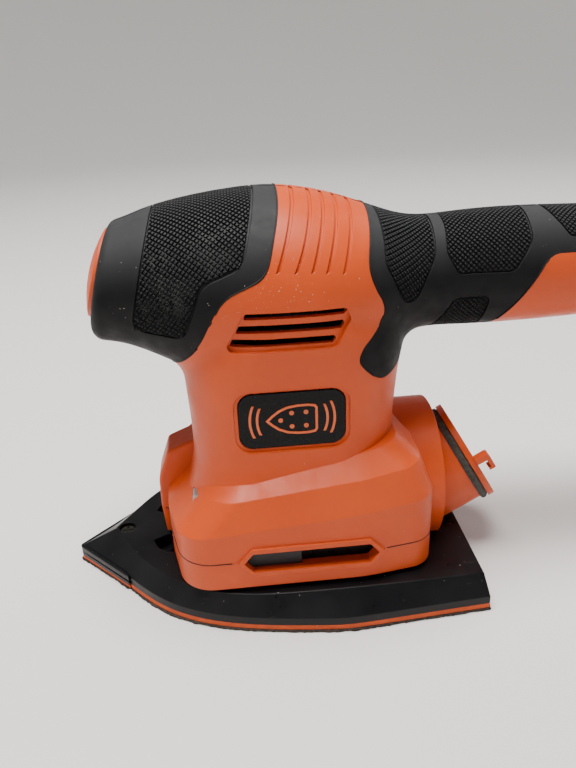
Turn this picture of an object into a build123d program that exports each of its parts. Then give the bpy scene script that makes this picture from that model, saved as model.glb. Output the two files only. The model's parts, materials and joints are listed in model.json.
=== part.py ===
"""Detail mouse sander: a bare battery tool with an iron-shaped sanding pad.

Millimetres, +Z up.  The origin is on the sanding face, midway along the pad.
The pointed tip looks along -X and the handle runs along +X.
Every sub-part is written to parts/ as a STEP file named after its node.
"""
import os
from math import cos, radians, sin

from build123d import *

os.makedirs("parts", exist_ok=True)

# ---------------------------------------------------------------- driving sizes
# Pad stack, from the sanding face upward
PAD_LENGTH = 140.0
PAD_HALF_WIDTH = 48.3
SHEET_THICK = 1.0
CUSHION_THICK = 1.7
RIM_TOP = 5.5
DECK_TOP = 12.2
TIP_JOINT_X = -50.0
TIP_TRAVEL = 20.0

# Drive line: the motor axis, and the crank that swings the pad
AXIS_X = 12.0
CRANK = 0.8
PIN_RADIUS = 4.0
BEARING_RADIUS = 11.0
BEARING_LOW = 16.0
BEARING_HIGH = 23.0
HUB_TOP = 24.0

DUST_HOLES = [(-32.0, 11.2), (-12.0, 30.0), (28.0, 33.0), (54.0, 12.0)]
DUST_HOLE_RADIUS = 4.2
LEG_PLACES = [(-17.0, 25.5), (-17.0, -25.5), (43.0, 26.5), (43.0, -26.5)]
LEG_RADIUS = 4.2
LEG_TOP = 34.0

# Housing walls
SKIN = 3.2
SKIRT_SKIN = 2.6
GRIP_THICK = 1.2
KNURL_DEPTH = 0.6
SKIRT_LOW = 14.0
SEAM_Z = 24.0
BASE_HALF_WIDTH = 40.4
BASE_TOP = 60.0
CREASE_Z = 36.8
CREASE_RISE = 5.0
CREST_Z = 46.8
CREST_RISE = 6.5
KEEL_HALF_WIDTH = 6.5

# Rear duct and dust port
COLLAR_END = 59.5
COLLAR_RADIUS = 25.4
COLLAR_Z = 29.5
PORT_TILT = 30.0
HOOK_Y = 18.0
PORT_CENTRE = (71.8, 0.0, 32.9)
PORT_RADIUS = 17.4
PORT_BORE = 14.5
PORT_STOP = -4.4
DUCT_RADIUS = 12.9
SEAL_RADIUS = 18.0
SEAL_SEAT = 16.2
FLANGE_RADIUS = 18.6
SEAL_HALF = 1.4
FLANGE_THICK = 2.2

# Nose switch
FACE_TILT = 15.0
FACE_CENTRE = (-48.0, 0.0, 105.3)
ROCKER_RISE = 3.6
ROCKER_RADIUS = 14.8
ROCKER_SINK = 4.0
ROCKER_HOLE = 15.1
FRAME_RADIUS = 16.3
FRAME_BACK = -14.0
FRAME_FRONT = -2.0
PIVOT_RADIUS = 1.2

# Side details: cooling slots (low z, high z, front x, rear x), window, plate, ribs
LOUVRES = [(92.9, 95.2, -9.2, 21.8), (97.1, 99.5, -7.2, 24.4), (101.4, 103.3, -4.8, 25.2)]
LOUVRE_BED = [(-10.8, 91.4), (21.6, 91.6), (26.4, 99.8), (24.4, 103.5), (-4.6, 103.5)]
WINDOW_FRONT = -9.6
WINDOW_REAR = 33.8
WINDOW_LOW = 20.2
WINDOW_HIGH = 27.4
BADGE_X = 8.3
BADGE_Z = 68.3
BADGE_LONG = 33.0
BADGE_TALL = 19.0
BADGE_FACE = 30.6
RIBS = [
    (14.2, 9.3, 5.2, 114.0), (18.9, 14.9, 10.3, 113.6), (23.5, 19.0, 15.0, 113.4),
    (27.7, 23.2, 19.2, 113.0), (32.1, 27.9, 24.1, 112.4),
]
RIB_WIDTH = 1.1
SLEEVE_END = 146.0

# Motor
CAN_RADIUS = 18.0
CAN_LOW = 56.0
CAN_HIGH = 113.0
SHAFT_RADIUS = 2.5

# Handle and battery dock
HANDLE_Z = 103.8
DOCK_FRONT = 152.0
DOCK_REAR = 186.0
DOCK_FLOOR = 88.0
DOCK_LOW = 80.0
BLADES = (-6.0, -2.0, 2.0, 6.0)

# Barrel, neck-to-handle run and dock flare as upright ovals:
# (x, middle height, half height, half width, lean in degrees)
OVALS = [
    (-48.0, 106.5, 18.7, 19.5, 15),
    (-37.5, 107.2, 20.8, 22.6, 12),
    (-25.0, 105.7, 25.0, 27.0, 9),
    (-8.0, 103.3, 29.3, 31.0, 5),
    (10.0, 102.7, 29.9, 32.4, 0),
    (26.0, 102.7, 26.6, 30.8, 0),
    (38.0, 103.0, 22.1, 26.0, 0),
    (50.0, 103.2, 18.4, 20.0, 0),
    (66.0, 103.5, 18.4, 17.6, 0),
    (100.0, 103.7, 18.4, 17.4, 0),
    (132.0, 103.8, 17.6, 17.2, 0),
    (150.0, 103.8, 18.4, 20.0, 0),
    (168.0, 104.0, 20.6, 28.0, 0),
    (188.0, 104.0, 21.4, 30.0, 0),
]

# Neck outlines at rising heights:
# (z, front x, rear x, half width, front corner radius, rear corner radius)
NECK_RINGS = [
    (40.0, -26.0, 47.6, 36.0, 22, 24),
    (46.0, -24.2, 45.6, 33.4, 21, 23),
    (51.5, -23.5, 44.0, 31.6, 20, 22),
    (60.0, -23.4, 43.4, 30.8, 20, 21),
    (70.0, -23.8, 44.2, 30.8, 20, 21),
    (78.0, -24.2, 45.4, 31.2, 21, 23),
    (85.0, -24.0, 47.0, 31.6, 22, 25),
    (92.0, -22.0, 47.4, 31.9, 23, 27),
    (99.0, -18.0, 44.6, 32.0, 24, 28),
    (106.0, -11.0, 40.0, 31.4, 23, 26),
]
NECK_BLEND = 8.0

# Outline of the soft nose sleeve against the hard shell, top to bottom (x, z)
NOSE_EDGE = [
    (8.0, 140.0),
    (7.4, 129.0),
    (4.9, 121.0),
    (1.0, 112.6),
    (-7.3, 109.1),
    (-12.4, 103.6),
    (-16.6, 95.4),
    (-19.6, 90.4),
    (-24.2, 85.0),
    (-31.0, 78.4),
]

# Front outline of the rear sleeve where it wraps the neck, top to bottom (x, z)
REAR_EDGE = [
    (35.8, 140.0),
    (35.2, 126.0),
    (33.4, 119.0),
    (32.4, 112.6),
    (35.0, 105.4),
    (36.7, 99.6),
    (34.6, 94.8),
    (30.2, 90.2),
    (28.8, 86.0),
    (31.4, 82.4),
    (36.6, 78.3),
    (42.6, 79.4),
    (62.0, 80.0),
]


def save(solid, name):
    """Label one finished piece and write it under its node name."""
    solid.label = name
    export_step(solid, f"parts/{name}.step")


def side_of(solid, left):
    """Keep the left (+Y) or right (-Y) half of a part that crosses the middle."""
    with BuildPart() as half:
        add(solid)
        split(bisect_by=Plane.XZ, keep=Keep.BOTTOM if left else Keep.TOP)
    return half.part


def post(x, z, y_low, y_high, radius):
    """A round bar across the tool, from y_low to y_high."""
    with BuildPart() as bar:
        with BuildSketch(Plane(origin=(x, y_low, z), x_dir=(1, 0, 0), z_dir=(0, 1, 0))):
            Circle(radius)
        extrude(amount=y_high - y_low)
    return bar.part


def column(x, y, z_low, z_high, radius):
    """An upright round bar."""
    with BuildPart() as bar:
        with BuildSketch(Plane.XY.offset(z_low)):
            with Locations((x, y)):
                Circle(radius)
        extrude(amount=z_high - z_low)
    return bar.part


# ---------------------------------------------------------------- housing forms
def barrel_form(inset):
    """Nose, barrel, handle and dock flare as one smooth body, shrunk by inset."""
    last = len(OVALS) - 1
    with BuildPart() as form:
        for index, (x, z, half_height, half_width, lean) in enumerate(OVALS):
            shift = inset if index == 0 else -inset if index == last else 0
            tilt = radians(lean)
            plane = Plane(
                origin=(x + shift, 0, z), x_dir=(0, 1, 0), z_dir=(cos(tilt), 0, -sin(tilt))
            )
            with BuildSketch(plane):
                Ellipse(half_width - inset, half_height - inset)
        loft()
        ends = form.edges().sort_by(Axis.X)
        fillet(ends[0], max(4.2 - inset, 0.4))
        fillet(form.edges().sort_by(Axis.X)[-1], max(5 - inset, 0.4))
    return form.part


def neck_form(inset):
    """The upright neck: rounded oblong rings that flare into base and handle."""
    with BuildPart() as form:
        for z, front, rear, half_width, front_round, rear_round in NECK_RINGS:
            with BuildSketch(Plane.XY.offset(z)):
                with BuildLine():
                    low_x, high_x = front + inset, rear - inset
                    side = half_width - inset
                    rounds = (front_round, rear_round, rear_round, front_round)
                    FilletPolyline(
                        (low_x, -side), (high_x, -side), (high_x, side), (low_x, side),
                        radius=[corner - inset for corner in rounds],
                        close=True,
                    )
                make_face()
        loft()
    return form.part


def base_outline(inset):
    """Plan of the base box: blunt front, straight sides, drawn-in rear corners."""
    side = BASE_HALF_WIDTH
    with BuildSketch() as plan:
        with BuildLine():
            FilletPolyline(
                (-34.2, 0), (-33.6, -17), (-28.5, -side), (30, -side), (53.2, -36.8),
                (53.2, 36.8), (30, side), (-28.5, side), (-33.6, 17),
                radius=[60, 18, 12, 60, 9, 9, 60, 12, 18],
                close=True,
            )
        make_face()
        offset(amount=-inset, kind=Kind.INTERSECTION)
    return plan.sketch


def rising_plane(height, rise):
    """A plane that climbs to the rear by rise degrees and passes height on the motor axis."""
    tilt = radians(rise)
    return Plane(
        origin=(AXIS_X, 0, height),
        x_dir=(cos(tilt), 0, sin(tilt)),
        z_dir=(-sin(tilt), 0, cos(tilt)),
    )


def crest_outline(front, rear, side, corner):
    """A rounded oblong about the motor axis, drawn with the base outline's edge count."""
    with BuildSketch() as plan:
        with BuildLine():
            FilletPolyline(
                (front, 0), (front + 0.6, -side * 0.36), (front + 4.5, -side), (18, -side),
                (rear, -side + 3.0), (rear, side - 3.0), (18, side), (front + 4.5, side),
                (front + 0.6, side * 0.36),
                radius=[60, 16, corner, 20, corner * 0.7, corner * 0.7, 20, corner, 16],
                close=True,
            )
        make_face()
    return plan.sketch


def base_walls(inset, floor):
    """The upright walls of the base box, up to the rising crease."""
    with BuildPart() as walls:
        with BuildSketch(Plane.XY.offset(floor)):
            add(base_outline(inset))
        extrude(amount=BASE_TOP - floor)
        split(bisect_by=rising_plane(CREASE_Z, CREASE_RISE), keep=Keep.BOTTOM)
    return walls.part


def ruled_band(foot, head):
    """A straight-sided solid between two outlines."""
    with BuildPart() as band:
        loft(sections=[foot, head], ruled=True)
    return band.part


def base_form(inset, floor):
    """The base box: upright walls to a rising crease, a sloping band, then a shallow dome."""
    walls = base_walls(inset, floor)
    foot = walls.faces().sort_by(Axis.Z)[-1]
    crest = rising_plane(CREST_Z - inset * 0.6, CREST_RISE).location * crest_outline(
        -36.4 + inset, 37.6 - inset, 37.0 - inset, 13 - inset
    )
    crown = rising_plane(CREST_Z + 5 - inset, CREST_RISE + 2).location * crest_outline(
        -32.5 + inset, 31.0 - inset, 30.5 - inset, 13 - inset
    )
    with BuildPart() as form:
        add(walls)
        add(ruled_band(foot, crest.face()))
        add(ruled_band(crest.face(), crown.face()))
    return form.part


def keel_form(inset):
    """The narrow upright rib on the front of the base, where the shells meet."""
    half = KEEL_HALF_WIDTH - inset
    with BuildPart() as keel:
        with BuildSketch(Plane.XZ.offset(half)):
            with BuildLine():
                FilletPolyline(
                    (-36.5 + inset, SKIRT_LOW), (-37.4 + inset, 24), (-37.1 + inset, 36),
                    (-33.2 + inset, 46.6 - inset), (-28.0, 48.8 - inset), (-20, 52.0 - inset),
                    (-20, SKIRT_LOW),
                    radius=[0, 12, 8, 2, 6, 0, 0],
                    close=True,
                )
            make_face()
        extrude(amount=-2 * half)
        front = keel.edges().filter_by(lambda edge: edge.center().X < -24 and edge.center().Z > 15)
        fillet(front.filter_by(lambda edge: abs(edge.center().Y) > half - 0.1), 1.2)
    return keel.part


def collar_form(inset, floor):
    """The round rear duct that leads the dust out of the base."""
    with BuildPart() as collar:
        with BuildSketch(Plane.YZ.offset(30)):
            with Locations((0, COLLAR_Z)):
                Circle(COLLAR_RADIUS - inset)
            with Locations((0, floor - 30)):
                Rectangle(80, 60, mode=Mode.SUBTRACT)
        extrude(amount=COLLAR_END - inset - 30)
    return collar.part


def handle_joint(inset):
    """Barrel and neck as one body, with every crease between them rounded off."""
    barrel = barrel_form(inset)
    neck = neck_form(inset)
    old = [edge.center() for edge in barrel.edges() + neck.edges()]
    with BuildPart() as joint:
        add(barrel)
        add(neck)
        creases = [
            edge
            for edge in joint.edges()
            if edge.center().Z > 76
            and min((edge.center() - centre).length for centre in old) > 0.5
        ]
        fillet(creases, NECK_BLEND + inset)
    return joint.part


def body_form(inset):
    """Everything that the shells enclose, shrunk by inset, without the base skirt."""
    with BuildPart() as form:
        add(handle_joint(inset))
        add(base_form(inset, SKIRT_LOW))
        add(keel_form(inset))
        add(collar_form(inset, SKIRT_LOW))
        with BuildSketch(Plane.XY.offset(60)):
            with Locations(((DOCK_FRONT + 200) / 2 - 2, 0)):
                Rectangle(200 - DOCK_FRONT + 4, 100)
        extrude(amount=DOCK_FLOOR + inset - 60, mode=Mode.SUBTRACT)
    return form.part


def inner_form():
    """The hollow inside the shells, open at the bottom of the base."""
    with BuildPart() as hollow:
        add(barrel_form(SKIN))
        add(neck_form(SKIN))
        add(base_form(SKIRT_SKIN, SKIRT_LOW - 6))
        add(collar_form(SKIRT_SKIN, SKIRT_LOW + 2))
        with BuildSketch(Plane.XY.offset(60)):
            with Locations(((DOCK_FRONT + 200) / 2 - 2, 0)):
                Rectangle(200 - DOCK_FRONT + 4, 100)
        extrude(amount=DOCK_FLOOR + SKIN - 60, mode=Mode.SUBTRACT)
    return hollow.part


def edge_prism(edge, back):
    """The region bounded by a smooth curve through edge and closed round by back."""
    with BuildPart() as prism:
        with BuildSketch(Plane.XZ.offset(60)):
            with BuildLine():
                Spline(*edge)
                Polyline(edge[-1], *back, edge[0])
            make_face()
        extrude(amount=-120)
    return prism.part


def face_plane(rise, depth):
    """A plane square to the nose axis, depth mm in front of the nose's end face."""
    tilt = radians(FACE_TILT)
    x, y, z = FACE_CENTRE
    return Plane(
        origin=(
            x - depth * cos(tilt) + rise * sin(tilt),
            y,
            z + depth * sin(tilt) + rise * cos(tilt),
        ),
        x_dir=(0, -1, 0),
        z_dir=(-cos(tilt), 0, sin(tilt)),
    )


def port_plane(along):
    """A plane square to the dust port's axis, along mm out from the seal's middle."""
    tilt = radians(PORT_TILT)
    x, y, z = PORT_CENTRE
    return Plane(
        origin=(x + along * cos(tilt), y, z + along * sin(tilt)),
        x_dir=(0, 1, 0),
        z_dir=(cos(tilt), 0, sin(tilt)),
    )


def disc(plane, radius, length, hole=0):
    """A round plate or tube standing on plane."""
    with BuildPart() as plate:
        with BuildSketch(plane):
            Circle(radius)
            if hole:
                Circle(hole, mode=Mode.SUBTRACT)
        extrude(amount=length)
    return plate.part


def ring(x, y, z_low, z_high, outer, inner):
    """An upright tube."""
    return disc(Plane(origin=(x, y, z_low)), outer, z_high - z_low, inner)


def block(x_range, y_range, z_range, rounding=0):
    """A rectangular block between two corners, with its upright edges rounded."""
    with BuildPart() as solid:
        with BuildSketch(Plane.XY.offset(z_range[0])):
            with Locations(((x_range[0] + x_range[1]) / 2, (y_range[0] + y_range[1]) / 2)):
                if rounding:
                    RectangleRounded(x_range[1] - x_range[0], y_range[1] - y_range[0], rounding)
                else:
                    Rectangle(x_range[1] - x_range[0], y_range[1] - y_range[0])
        extrude(amount=z_range[1] - z_range[0])
    return solid.part


# ---------------------------------------------------------------- pad stack
def pad_outline(inset):
    """Iron-shaped plan of the pad: pointed tip, bellied sides, square heel."""
    heel = PAD_LENGTH / 2
    with BuildSketch() as plan:
        with BuildLine():
            for side in (1, -1):
                Polyline((-heel, 0), (-60, side * 9.4), (TIP_JOINT_X, side * 19.6))
                Spline(
                    (TIP_JOINT_X, side * 19.6), (-36, side * 33.6), (-14, side * 43.8),
                    (12, side * PAD_HALF_WIDTH), (heel, side * 46),
                    tangents=[(1, side * 1.15), (1, side * -0.07)],
                )
            Line((heel, 46), (heel, -46))
        make_face()
        if inset:
            offset(amount=-inset, kind=Kind.INTERSECTION)
    return plan.sketch


def deck_outline():
    """Plan of the pad's raised deck, inside the sloping border."""
    with BuildSketch() as plan:
        with BuildLine():
            for side in (1, -1):
                Spline(
                    (-55.8, 0), (-51.5, side * 7.4), (-45.3, side * 17.4), (-31.2, side * 32.2),
                    (-18.3, side * 39.2), (8, side * 42.8), (38, side * 42.8), (68.6, side * 42),
                    tangents=[(0.45, side * 1), (1, side * -0.03)],
                )
            Line((68.6, 42), (68.6, -42))
        make_face()
    return plan.sketch


def pad_blank(z_low, z_high, inset=0):
    """One flat layer with the pad's outline."""
    with BuildPart() as layer:
        with BuildSketch(Plane.XY.offset(z_low)):
            add(pad_outline(inset))
        extrude(amount=z_high - z_low)
    return layer.part


def dust_holes(z_low, z_high):
    """The round holes through every layer of the pad."""
    with BuildPart() as holes:
        for x, y in DUST_HOLES:
            with BuildSketch(Plane.XY.offset(z_low)):
                with Locations((x, y), (x, -y)):
                    Circle(DUST_HOLE_RADIUS)
            extrude(amount=z_high - z_low)
    return holes.part


def ahead_of_joint(solid, keep_tip):
    """Keep either the tip's end of a layer or the rest of it."""
    with BuildPart() as cut:
        add(solid)
        split(bisect_by=Plane.YZ.offset(TIP_JOINT_X), keep=Keep.BOTTOM if keep_tip else Keep.TOP)
    return cut.part


def tip_grown(z_low, z_high, proud):
    """The diamond tip's layer, standing proud of the pad's outline by a little."""
    with BuildPart() as layer:
        with BuildSketch(Plane.XY.offset(z_low)):
            with BuildLine():
                reach = -PAD_LENGTH / 2
                FilletPolyline(
                    (reach, 0), (-60, -9.4 - proud), (TIP_JOINT_X, -19.6 - proud),
                    (TIP_JOINT_X, 19.6 + proud), (-60, 9.4 + proud),
                    radius=[1.5, 30, 0, 0, 30],
                    close=True,
                )
            make_face()
        extrude(amount=z_high - z_low)
    return layer.part


def tip_groove():
    """The groove run round the tip's edge."""
    with BuildPart() as groove:
        add(tip_grown(3.6, 4.3, 5))
        add(tip_grown(3.0, 5.0, 0.2), mode=Mode.SUBTRACT)
    return groove.part


PLATE_LOW = SHEET_THICK + CUSHION_THICK
TIP_TOP = 6.2
SLOT_HALF = 2.2
TONGUE_HALF = 8.0
TONGUE_BACK = -40.0
SCREW_X = -51.6

with BuildPart() as platen:
    with BuildSketch(Plane.XY.offset(PLATE_LOW)):
        add(pad_outline(0))
    extrude(amount=RIM_TOP - PLATE_LOW)
    with BuildSketch(Plane.XY.offset(RIM_TOP)):
        add(pad_outline(0))
    with BuildSketch(Plane.XY.offset(DECK_TOP)):
        add(deck_outline())
    loft()
    # Bearing hub, and the wells that carry the flexible legs
    add(column(AXIS_X + CRANK, 0, DECK_TOP - 1, HUB_TOP, 15.0))
    add(column(AXIS_X + CRANK, 0, BEARING_LOW, HUB_TOP + 1, BEARING_RADIUS), mode=Mode.SUBTRACT)
    add(column(AXIS_X + CRANK, 0, PLATE_LOW - 1, BEARING_LOW, 6.0), mode=Mode.SUBTRACT)
    for x, y in LEG_PLACES:
        add(column(x, y, DECK_TOP - 3.2, DECK_TOP + 1, LEG_RADIUS), mode=Mode.SUBTRACT)
    # Arrow-fronted dust scoops above the front holes
    for side in (1, -1):
        with BuildSketch(Plane.XY.offset(DECK_TOP - 5.0)):
            with BuildLine():
                FilletPolyline(
                    (-41.5, side * 9.0), (-36.5, side * 6.0), (-22, side * 6.0),
                    (-22, side * 16.5), (-36.5, side * 16.5), (-39.5, side * 13.5),
                    radius=0.8,
                    close=True,
                )
            make_face()
        extrude(amount=8, mode=Mode.SUBTRACT)
    add(dust_holes(PLATE_LOW - 1, DECK_TOP + 1), mode=Mode.SUBTRACT)
    # Seat for the separate tip: everything ahead of the joint below TIP_TOP
    add(block((-80, TIP_JOINT_X), (-40, 40), (0, TIP_TOP)), mode=Mode.SUBTRACT)
    add(block((TIP_JOINT_X - 1, TONGUE_BACK), (-TONGUE_HALF - 0.15, TONGUE_HALF + 0.15), (0, TIP_TOP)),
        mode=Mode.SUBTRACT)
    add(column(SCREW_X, 0, 0, 20, 1.6), mode=Mode.SUBTRACT)
    add(column(SCREW_X, 0, 9.6, 20, 3.0), mode=Mode.SUBTRACT)
save(platen.part, "platen")

with BuildPart() as cushion:
    add(ahead_of_joint(pad_blank(SHEET_THICK, PLATE_LOW), keep_tip=False))
    add(dust_holes(0, 5), mode=Mode.SUBTRACT)
    add(block((TIP_JOINT_X - 1, TONGUE_BACK), (-TONGUE_HALF - 0.15, TONGUE_HALF + 0.15), (0, 5)),
        mode=Mode.SUBTRACT)
save(cushion.part, "pad_cushion")

with BuildPart() as sheet:
    add(ahead_of_joint(pad_blank(0, SHEET_THICK), keep_tip=False))
    add(dust_holes(-1, 5), mode=Mode.SUBTRACT)
save(sheet.part, "abrasive_sheet")

with BuildPart() as tip:
    add(tip_grown(2.2, TIP_TOP - 0.1, 0.9))
    add(block((TIP_JOINT_X - 1, TONGUE_BACK - 0.3), (-TONGUE_HALF, TONGUE_HALF), (2.2, TIP_TOP - 0.1)))
    add(block((SCREW_X, -30), (-SLOT_HALF, SLOT_HALF), (0, 10)), mode=Mode.SUBTRACT)
    add(column(SCREW_X, 0, 0, 10, SLOT_HALF), mode=Mode.SUBTRACT)
    add(block((SCREW_X - 4, -30), (-3.7, 3.7), (0, 4.1)), mode=Mode.SUBTRACT)
    add(tip_groove(), mode=Mode.SUBTRACT)
save(tip.part, "detail_tip")

with BuildPart() as tip_hook:
    add(tip_grown(SHEET_THICK, 2.2, 0.6))
    add(block((SCREW_X - 4, -30), (-3.7, 3.7), (0, 4.1)), mode=Mode.SUBTRACT)
save(tip_hook.part, "tip_cushion")

with BuildPart() as tip_sheet:
    add(tip_grown(0, SHEET_THICK, 0.3))
save(tip_sheet.part, "tip_sheet")

with BuildPart() as tip_screw:
    with BuildSketch(Plane.XY.offset(9.6)):
        with Locations((SCREW_X, 0)):
            Circle(2.8)
    extrude(amount=1.6)
    fillet(tip_screw.edges().group_by(Axis.Z)[-1], 0.6)
    add(column(SCREW_X, 0, 3.0, 9.6, 1.6))
    add(block((SCREW_X - 2.0, SCREW_X + 2.0), (-0.35, 0.35), (10.5, 12)), mode=Mode.SUBTRACT)
    add(block((SCREW_X - 0.35, SCREW_X + 0.35), (-2.0, 2.0), (10.5, 12)), mode=Mode.SUBTRACT)
save(tip_screw.part, "tip_screw")

with BuildPart() as tip_nut:
    add(block((SCREW_X - 3.2, SCREW_X + 3.2), (-3.4, 3.4), (1.8, 3.9), rounding=0.6))
    add(column(SCREW_X, 0, 0, 10, 1.6), mode=Mode.SUBTRACT)
save(tip_nut.part, "tip_clamp_nut")

with BuildPart() as legs:
    for x, y in LEG_PLACES:
        add(column(x, y, DECK_TOP - 3.2, LEG_TOP, LEG_RADIUS))
        waist = ring(x, y, DECK_TOP + 3, LEG_TOP - 5, LEG_RADIUS + 1, LEG_RADIUS - 1.1)
        add(waist, mode=Mode.SUBTRACT)
save(legs.part, "flexible_legs")

# ---------------------------------------------------------------- drive line
PIN_X = AXIS_X + CRANK
BALL_RING = 7.5
BALL_RADIUS = 1.8
BEARING_MID = (BEARING_LOW + BEARING_HIGH) / 2


def race(outer, inner):
    """One bearing ring with its ball groove."""
    with BuildPart() as part:
        add(ring(PIN_X, 0, BEARING_LOW, BEARING_HIGH, outer, inner))
        with BuildSketch(Plane(origin=(PIN_X, 0, BEARING_MID), x_dir=(1, 0, 0), z_dir=(0, -1, 0))):
            with Locations((BALL_RING, 0)):
                Circle(BALL_RADIUS + 0.08)
        revolve(axis=Axis((PIN_X, 0, 0), (0, 0, 1)), mode=Mode.SUBTRACT)
    return part.part


save(race(BEARING_RADIUS, 8.7), "platen_bearing_outer")
save(race(6.3, PIN_RADIUS), "platen_bearing_inner")

with BuildPart() as balls:
    with Locations((PIN_X, 0, BEARING_MID)):
        with PolarLocations(BALL_RING, 8):
            Sphere(BALL_RADIUS)
save(balls.part, "platen_bearing_balls")

with BuildPart() as crank:
    add(column(PIN_X, 0, BEARING_LOW + 0.3, 24.8, PIN_RADIUS))
    add(column(AXIS_X, 0, 24.8, 44.0, 8.0))
    # Balance weight opposite the crank pin
    with BuildSketch(Plane.XY.offset(24.8)):
        with Locations((AXIS_X, 0)):
            Circle(19)
        with Locations((AXIS_X + 16, 0)):
            Rectangle(32, 60, mode=Mode.SUBTRACT)
    extrude(amount=7.2)
    add(column(AXIS_X, 0, 30.0, 50, SHAFT_RADIUS), mode=Mode.SUBTRACT)
    chamfer(crank.edges().filter_by(GeomType.CIRCLE).group_by(Axis.Z)[0], 0.4)
save(crank.part, "crank_weight")

with BuildPart() as fan:
    add(ring(AXIS_X, 0, 42.0, 43.6, 27.0, 8.0))
    add(ring(AXIS_X, 0, 34.0, 42.0, 9.6, 8.0))
    with BuildSketch(Plane.XY.offset(34.0)):
        with Locations((AXIS_X, 0)):
            with PolarLocations(18, 10):
                Rectangle(17.2, 1.4, rotation=28)
    extrude(amount=8.2)
save(fan.part, "dust_fan")

with BuildPart() as shaft:
    add(column(AXIS_X, 0, 30.0, 119.0, SHAFT_RADIUS))
    chamfer(shaft.edges().group_by(Axis.Z)[-1], 0.5)
save(shaft.part, "motor_shaft")

with BuildPart() as can:
    add(column(AXIS_X, 0, CAN_LOW, CAN_HIGH, CAN_RADIUS))
    fillet(can.edges().group_by(Axis.Z)[0], 1.5)
    add(column(AXIS_X, 0, CAN_LOW + 1.6, CAN_HIGH + 1, CAN_RADIUS - 1.6), mode=Mode.SUBTRACT)
    add(ring(AXIS_X, 0, CAN_LOW + 1.6, CAN_LOW + 5, 8.0, 6.5))
    add(column(AXIS_X, 0, CAN_LOW - 1, CAN_LOW + 5, 6.5), mode=Mode.SUBTRACT)
    for turn in range(6):
        angle = radians(60 * turn + 30)
        place = (AXIS_X + 12.2 * cos(angle), 12.2 * sin(angle))
        add(column(*place, CAN_LOW - 1, CAN_LOW + 2, 2.2), mode=Mode.SUBTRACT)
save(can.part, "motor_can")

with BuildPart() as lower_bush:
    add(ring(AXIS_X, 0, CAN_LOW + 0.4, CAN_LOW + 5, 6.5, SHAFT_RADIUS))
save(lower_bush.part, "motor_bearing_lower")

with BuildPart() as magnets:
    for start in (-60, 120):
        with BuildSketch(Plane.XY.offset(64)):
            with Locations((AXIS_X, 0)):
                Circle(CAN_RADIUS - 1.6)
                Circle(CAN_RADIUS - 4.6, mode=Mode.SUBTRACT)
            with Locations((AXIS_X, 0)):
                with BuildLine(mode=Mode.PRIVATE) as wedge:
                    reach = CAN_RADIUS + 10
                    a, b = radians(start), radians(start + 120)
                    Polyline(
                        (AXIS_X, 0),
                        (AXIS_X + reach * cos(a), reach * sin(a)),
                        (AXIS_X + 2 * reach * cos((a + b) / 2), 2 * reach * sin((a + b) / 2)),
                        (AXIS_X + reach * cos(b), reach * sin(b)),
                        close=True,
                    )
            add(make_face(wedge.line.edges(), mode=Mode.PRIVATE), mode=Mode.INTERSECT)
        extrude(amount=40)
save(magnets.part, "motor_magnets")

with BuildPart() as armature:
    with BuildSketch(Plane.XY.offset(69)):
        with Locations((AXIS_X, 0)):
            Circle(12.8)
            Circle(SHAFT_RADIUS, mode=Mode.SUBTRACT)
            with PolarLocations(10.2, 5):
                SlotOverall(7.4, 3.6, mode=Mode.SUBTRACT)
    extrude(amount=29)
save(armature.part, "armature_core")

with BuildPart() as coils:
    add(ring(AXIS_X, 0, 64.2, 69, 11.6, SHAFT_RADIUS + 1.5))
    add(ring(AXIS_X, 0, 98, 102.6, 11.6, SHAFT_RADIUS + 1.5))
    fillet(coils.edges().filter_by(GeomType.CIRCLE).group_by(SortBy.RADIUS)[-1], 1.6)
save(coils.part, "armature_coils")

with BuildPart() as commutator:
    add(ring(AXIS_X, 0, 103.2, 111.0, 5.6, SHAFT_RADIUS))
    with BuildSketch(Plane.XY.offset(104.0)):
        with Locations((AXIS_X, 0)):
            with PolarLocations(5.6, 10):
                Rectangle(0.9, 0.5)
    extrude(amount=8, mode=Mode.SUBTRACT)
save(commutator.part, "commutator")

with BuildPart() as brushes:
    for side in (1, -1):
        add(block(sorted((AXIS_X + side * 5.7, AXIS_X + side * 13)), (-2.2, 2.2), (105.4, 109.8)))
save(brushes.part, "carbon_brushes")

with BuildPart() as end_bell:
    add(column(AXIS_X, 0, CAN_HIGH, CAN_HIGH + 2.4, CAN_RADIUS))
    add(ring(AXIS_X, 0, CAN_HIGH - 2.0, CAN_HIGH, CAN_RADIUS - 1.6, CAN_RADIUS - 3.2))
    add(column(AXIS_X, 0, CAN_HIGH + 2.4, CAN_HIGH + 4.4, 7.0))
    add(column(AXIS_X, 0, CAN_HIGH - 3, CAN_HIGH + 6, 5.0), mode=Mode.SUBTRACT)
save(end_bell.part, "motor_end_bell")

with BuildPart() as upper_bush:
    add(ring(AXIS_X, 0, CAN_HIGH, CAN_HIGH + 4.0, 5.0, SHAFT_RADIUS))
save(upper_bush.part, "motor_bearing_upper")

# ---------------------------------------------------------------- housing
OUTER = body_form(0)
UNDER_GRIP = body_form(GRIP_THICK)
UNDER_KNURL = body_form(KNURL_DEPTH)
INNER = inner_form()


def skin(under, region):
    """The part of the outer skin that lies outside under and within region."""
    with BuildPart() as layer:
        add(OUTER)
        add(region, mode=Mode.INTERSECT)
        add(under, mode=Mode.SUBTRACT)
    return layer.part


def panel_prism(points, radii, y_low, y_high):
    """A rounded patch drawn from the side and run from y_low to y_high."""
    with BuildPart() as prism:
        with BuildSketch(Plane.XZ.offset(-y_low)):
            with BuildLine():
                FilletPolyline(*points, radius=radii, close=True)
            make_face()
        extrude(amount=-(y_high - y_low))
    return prism.part


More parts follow.
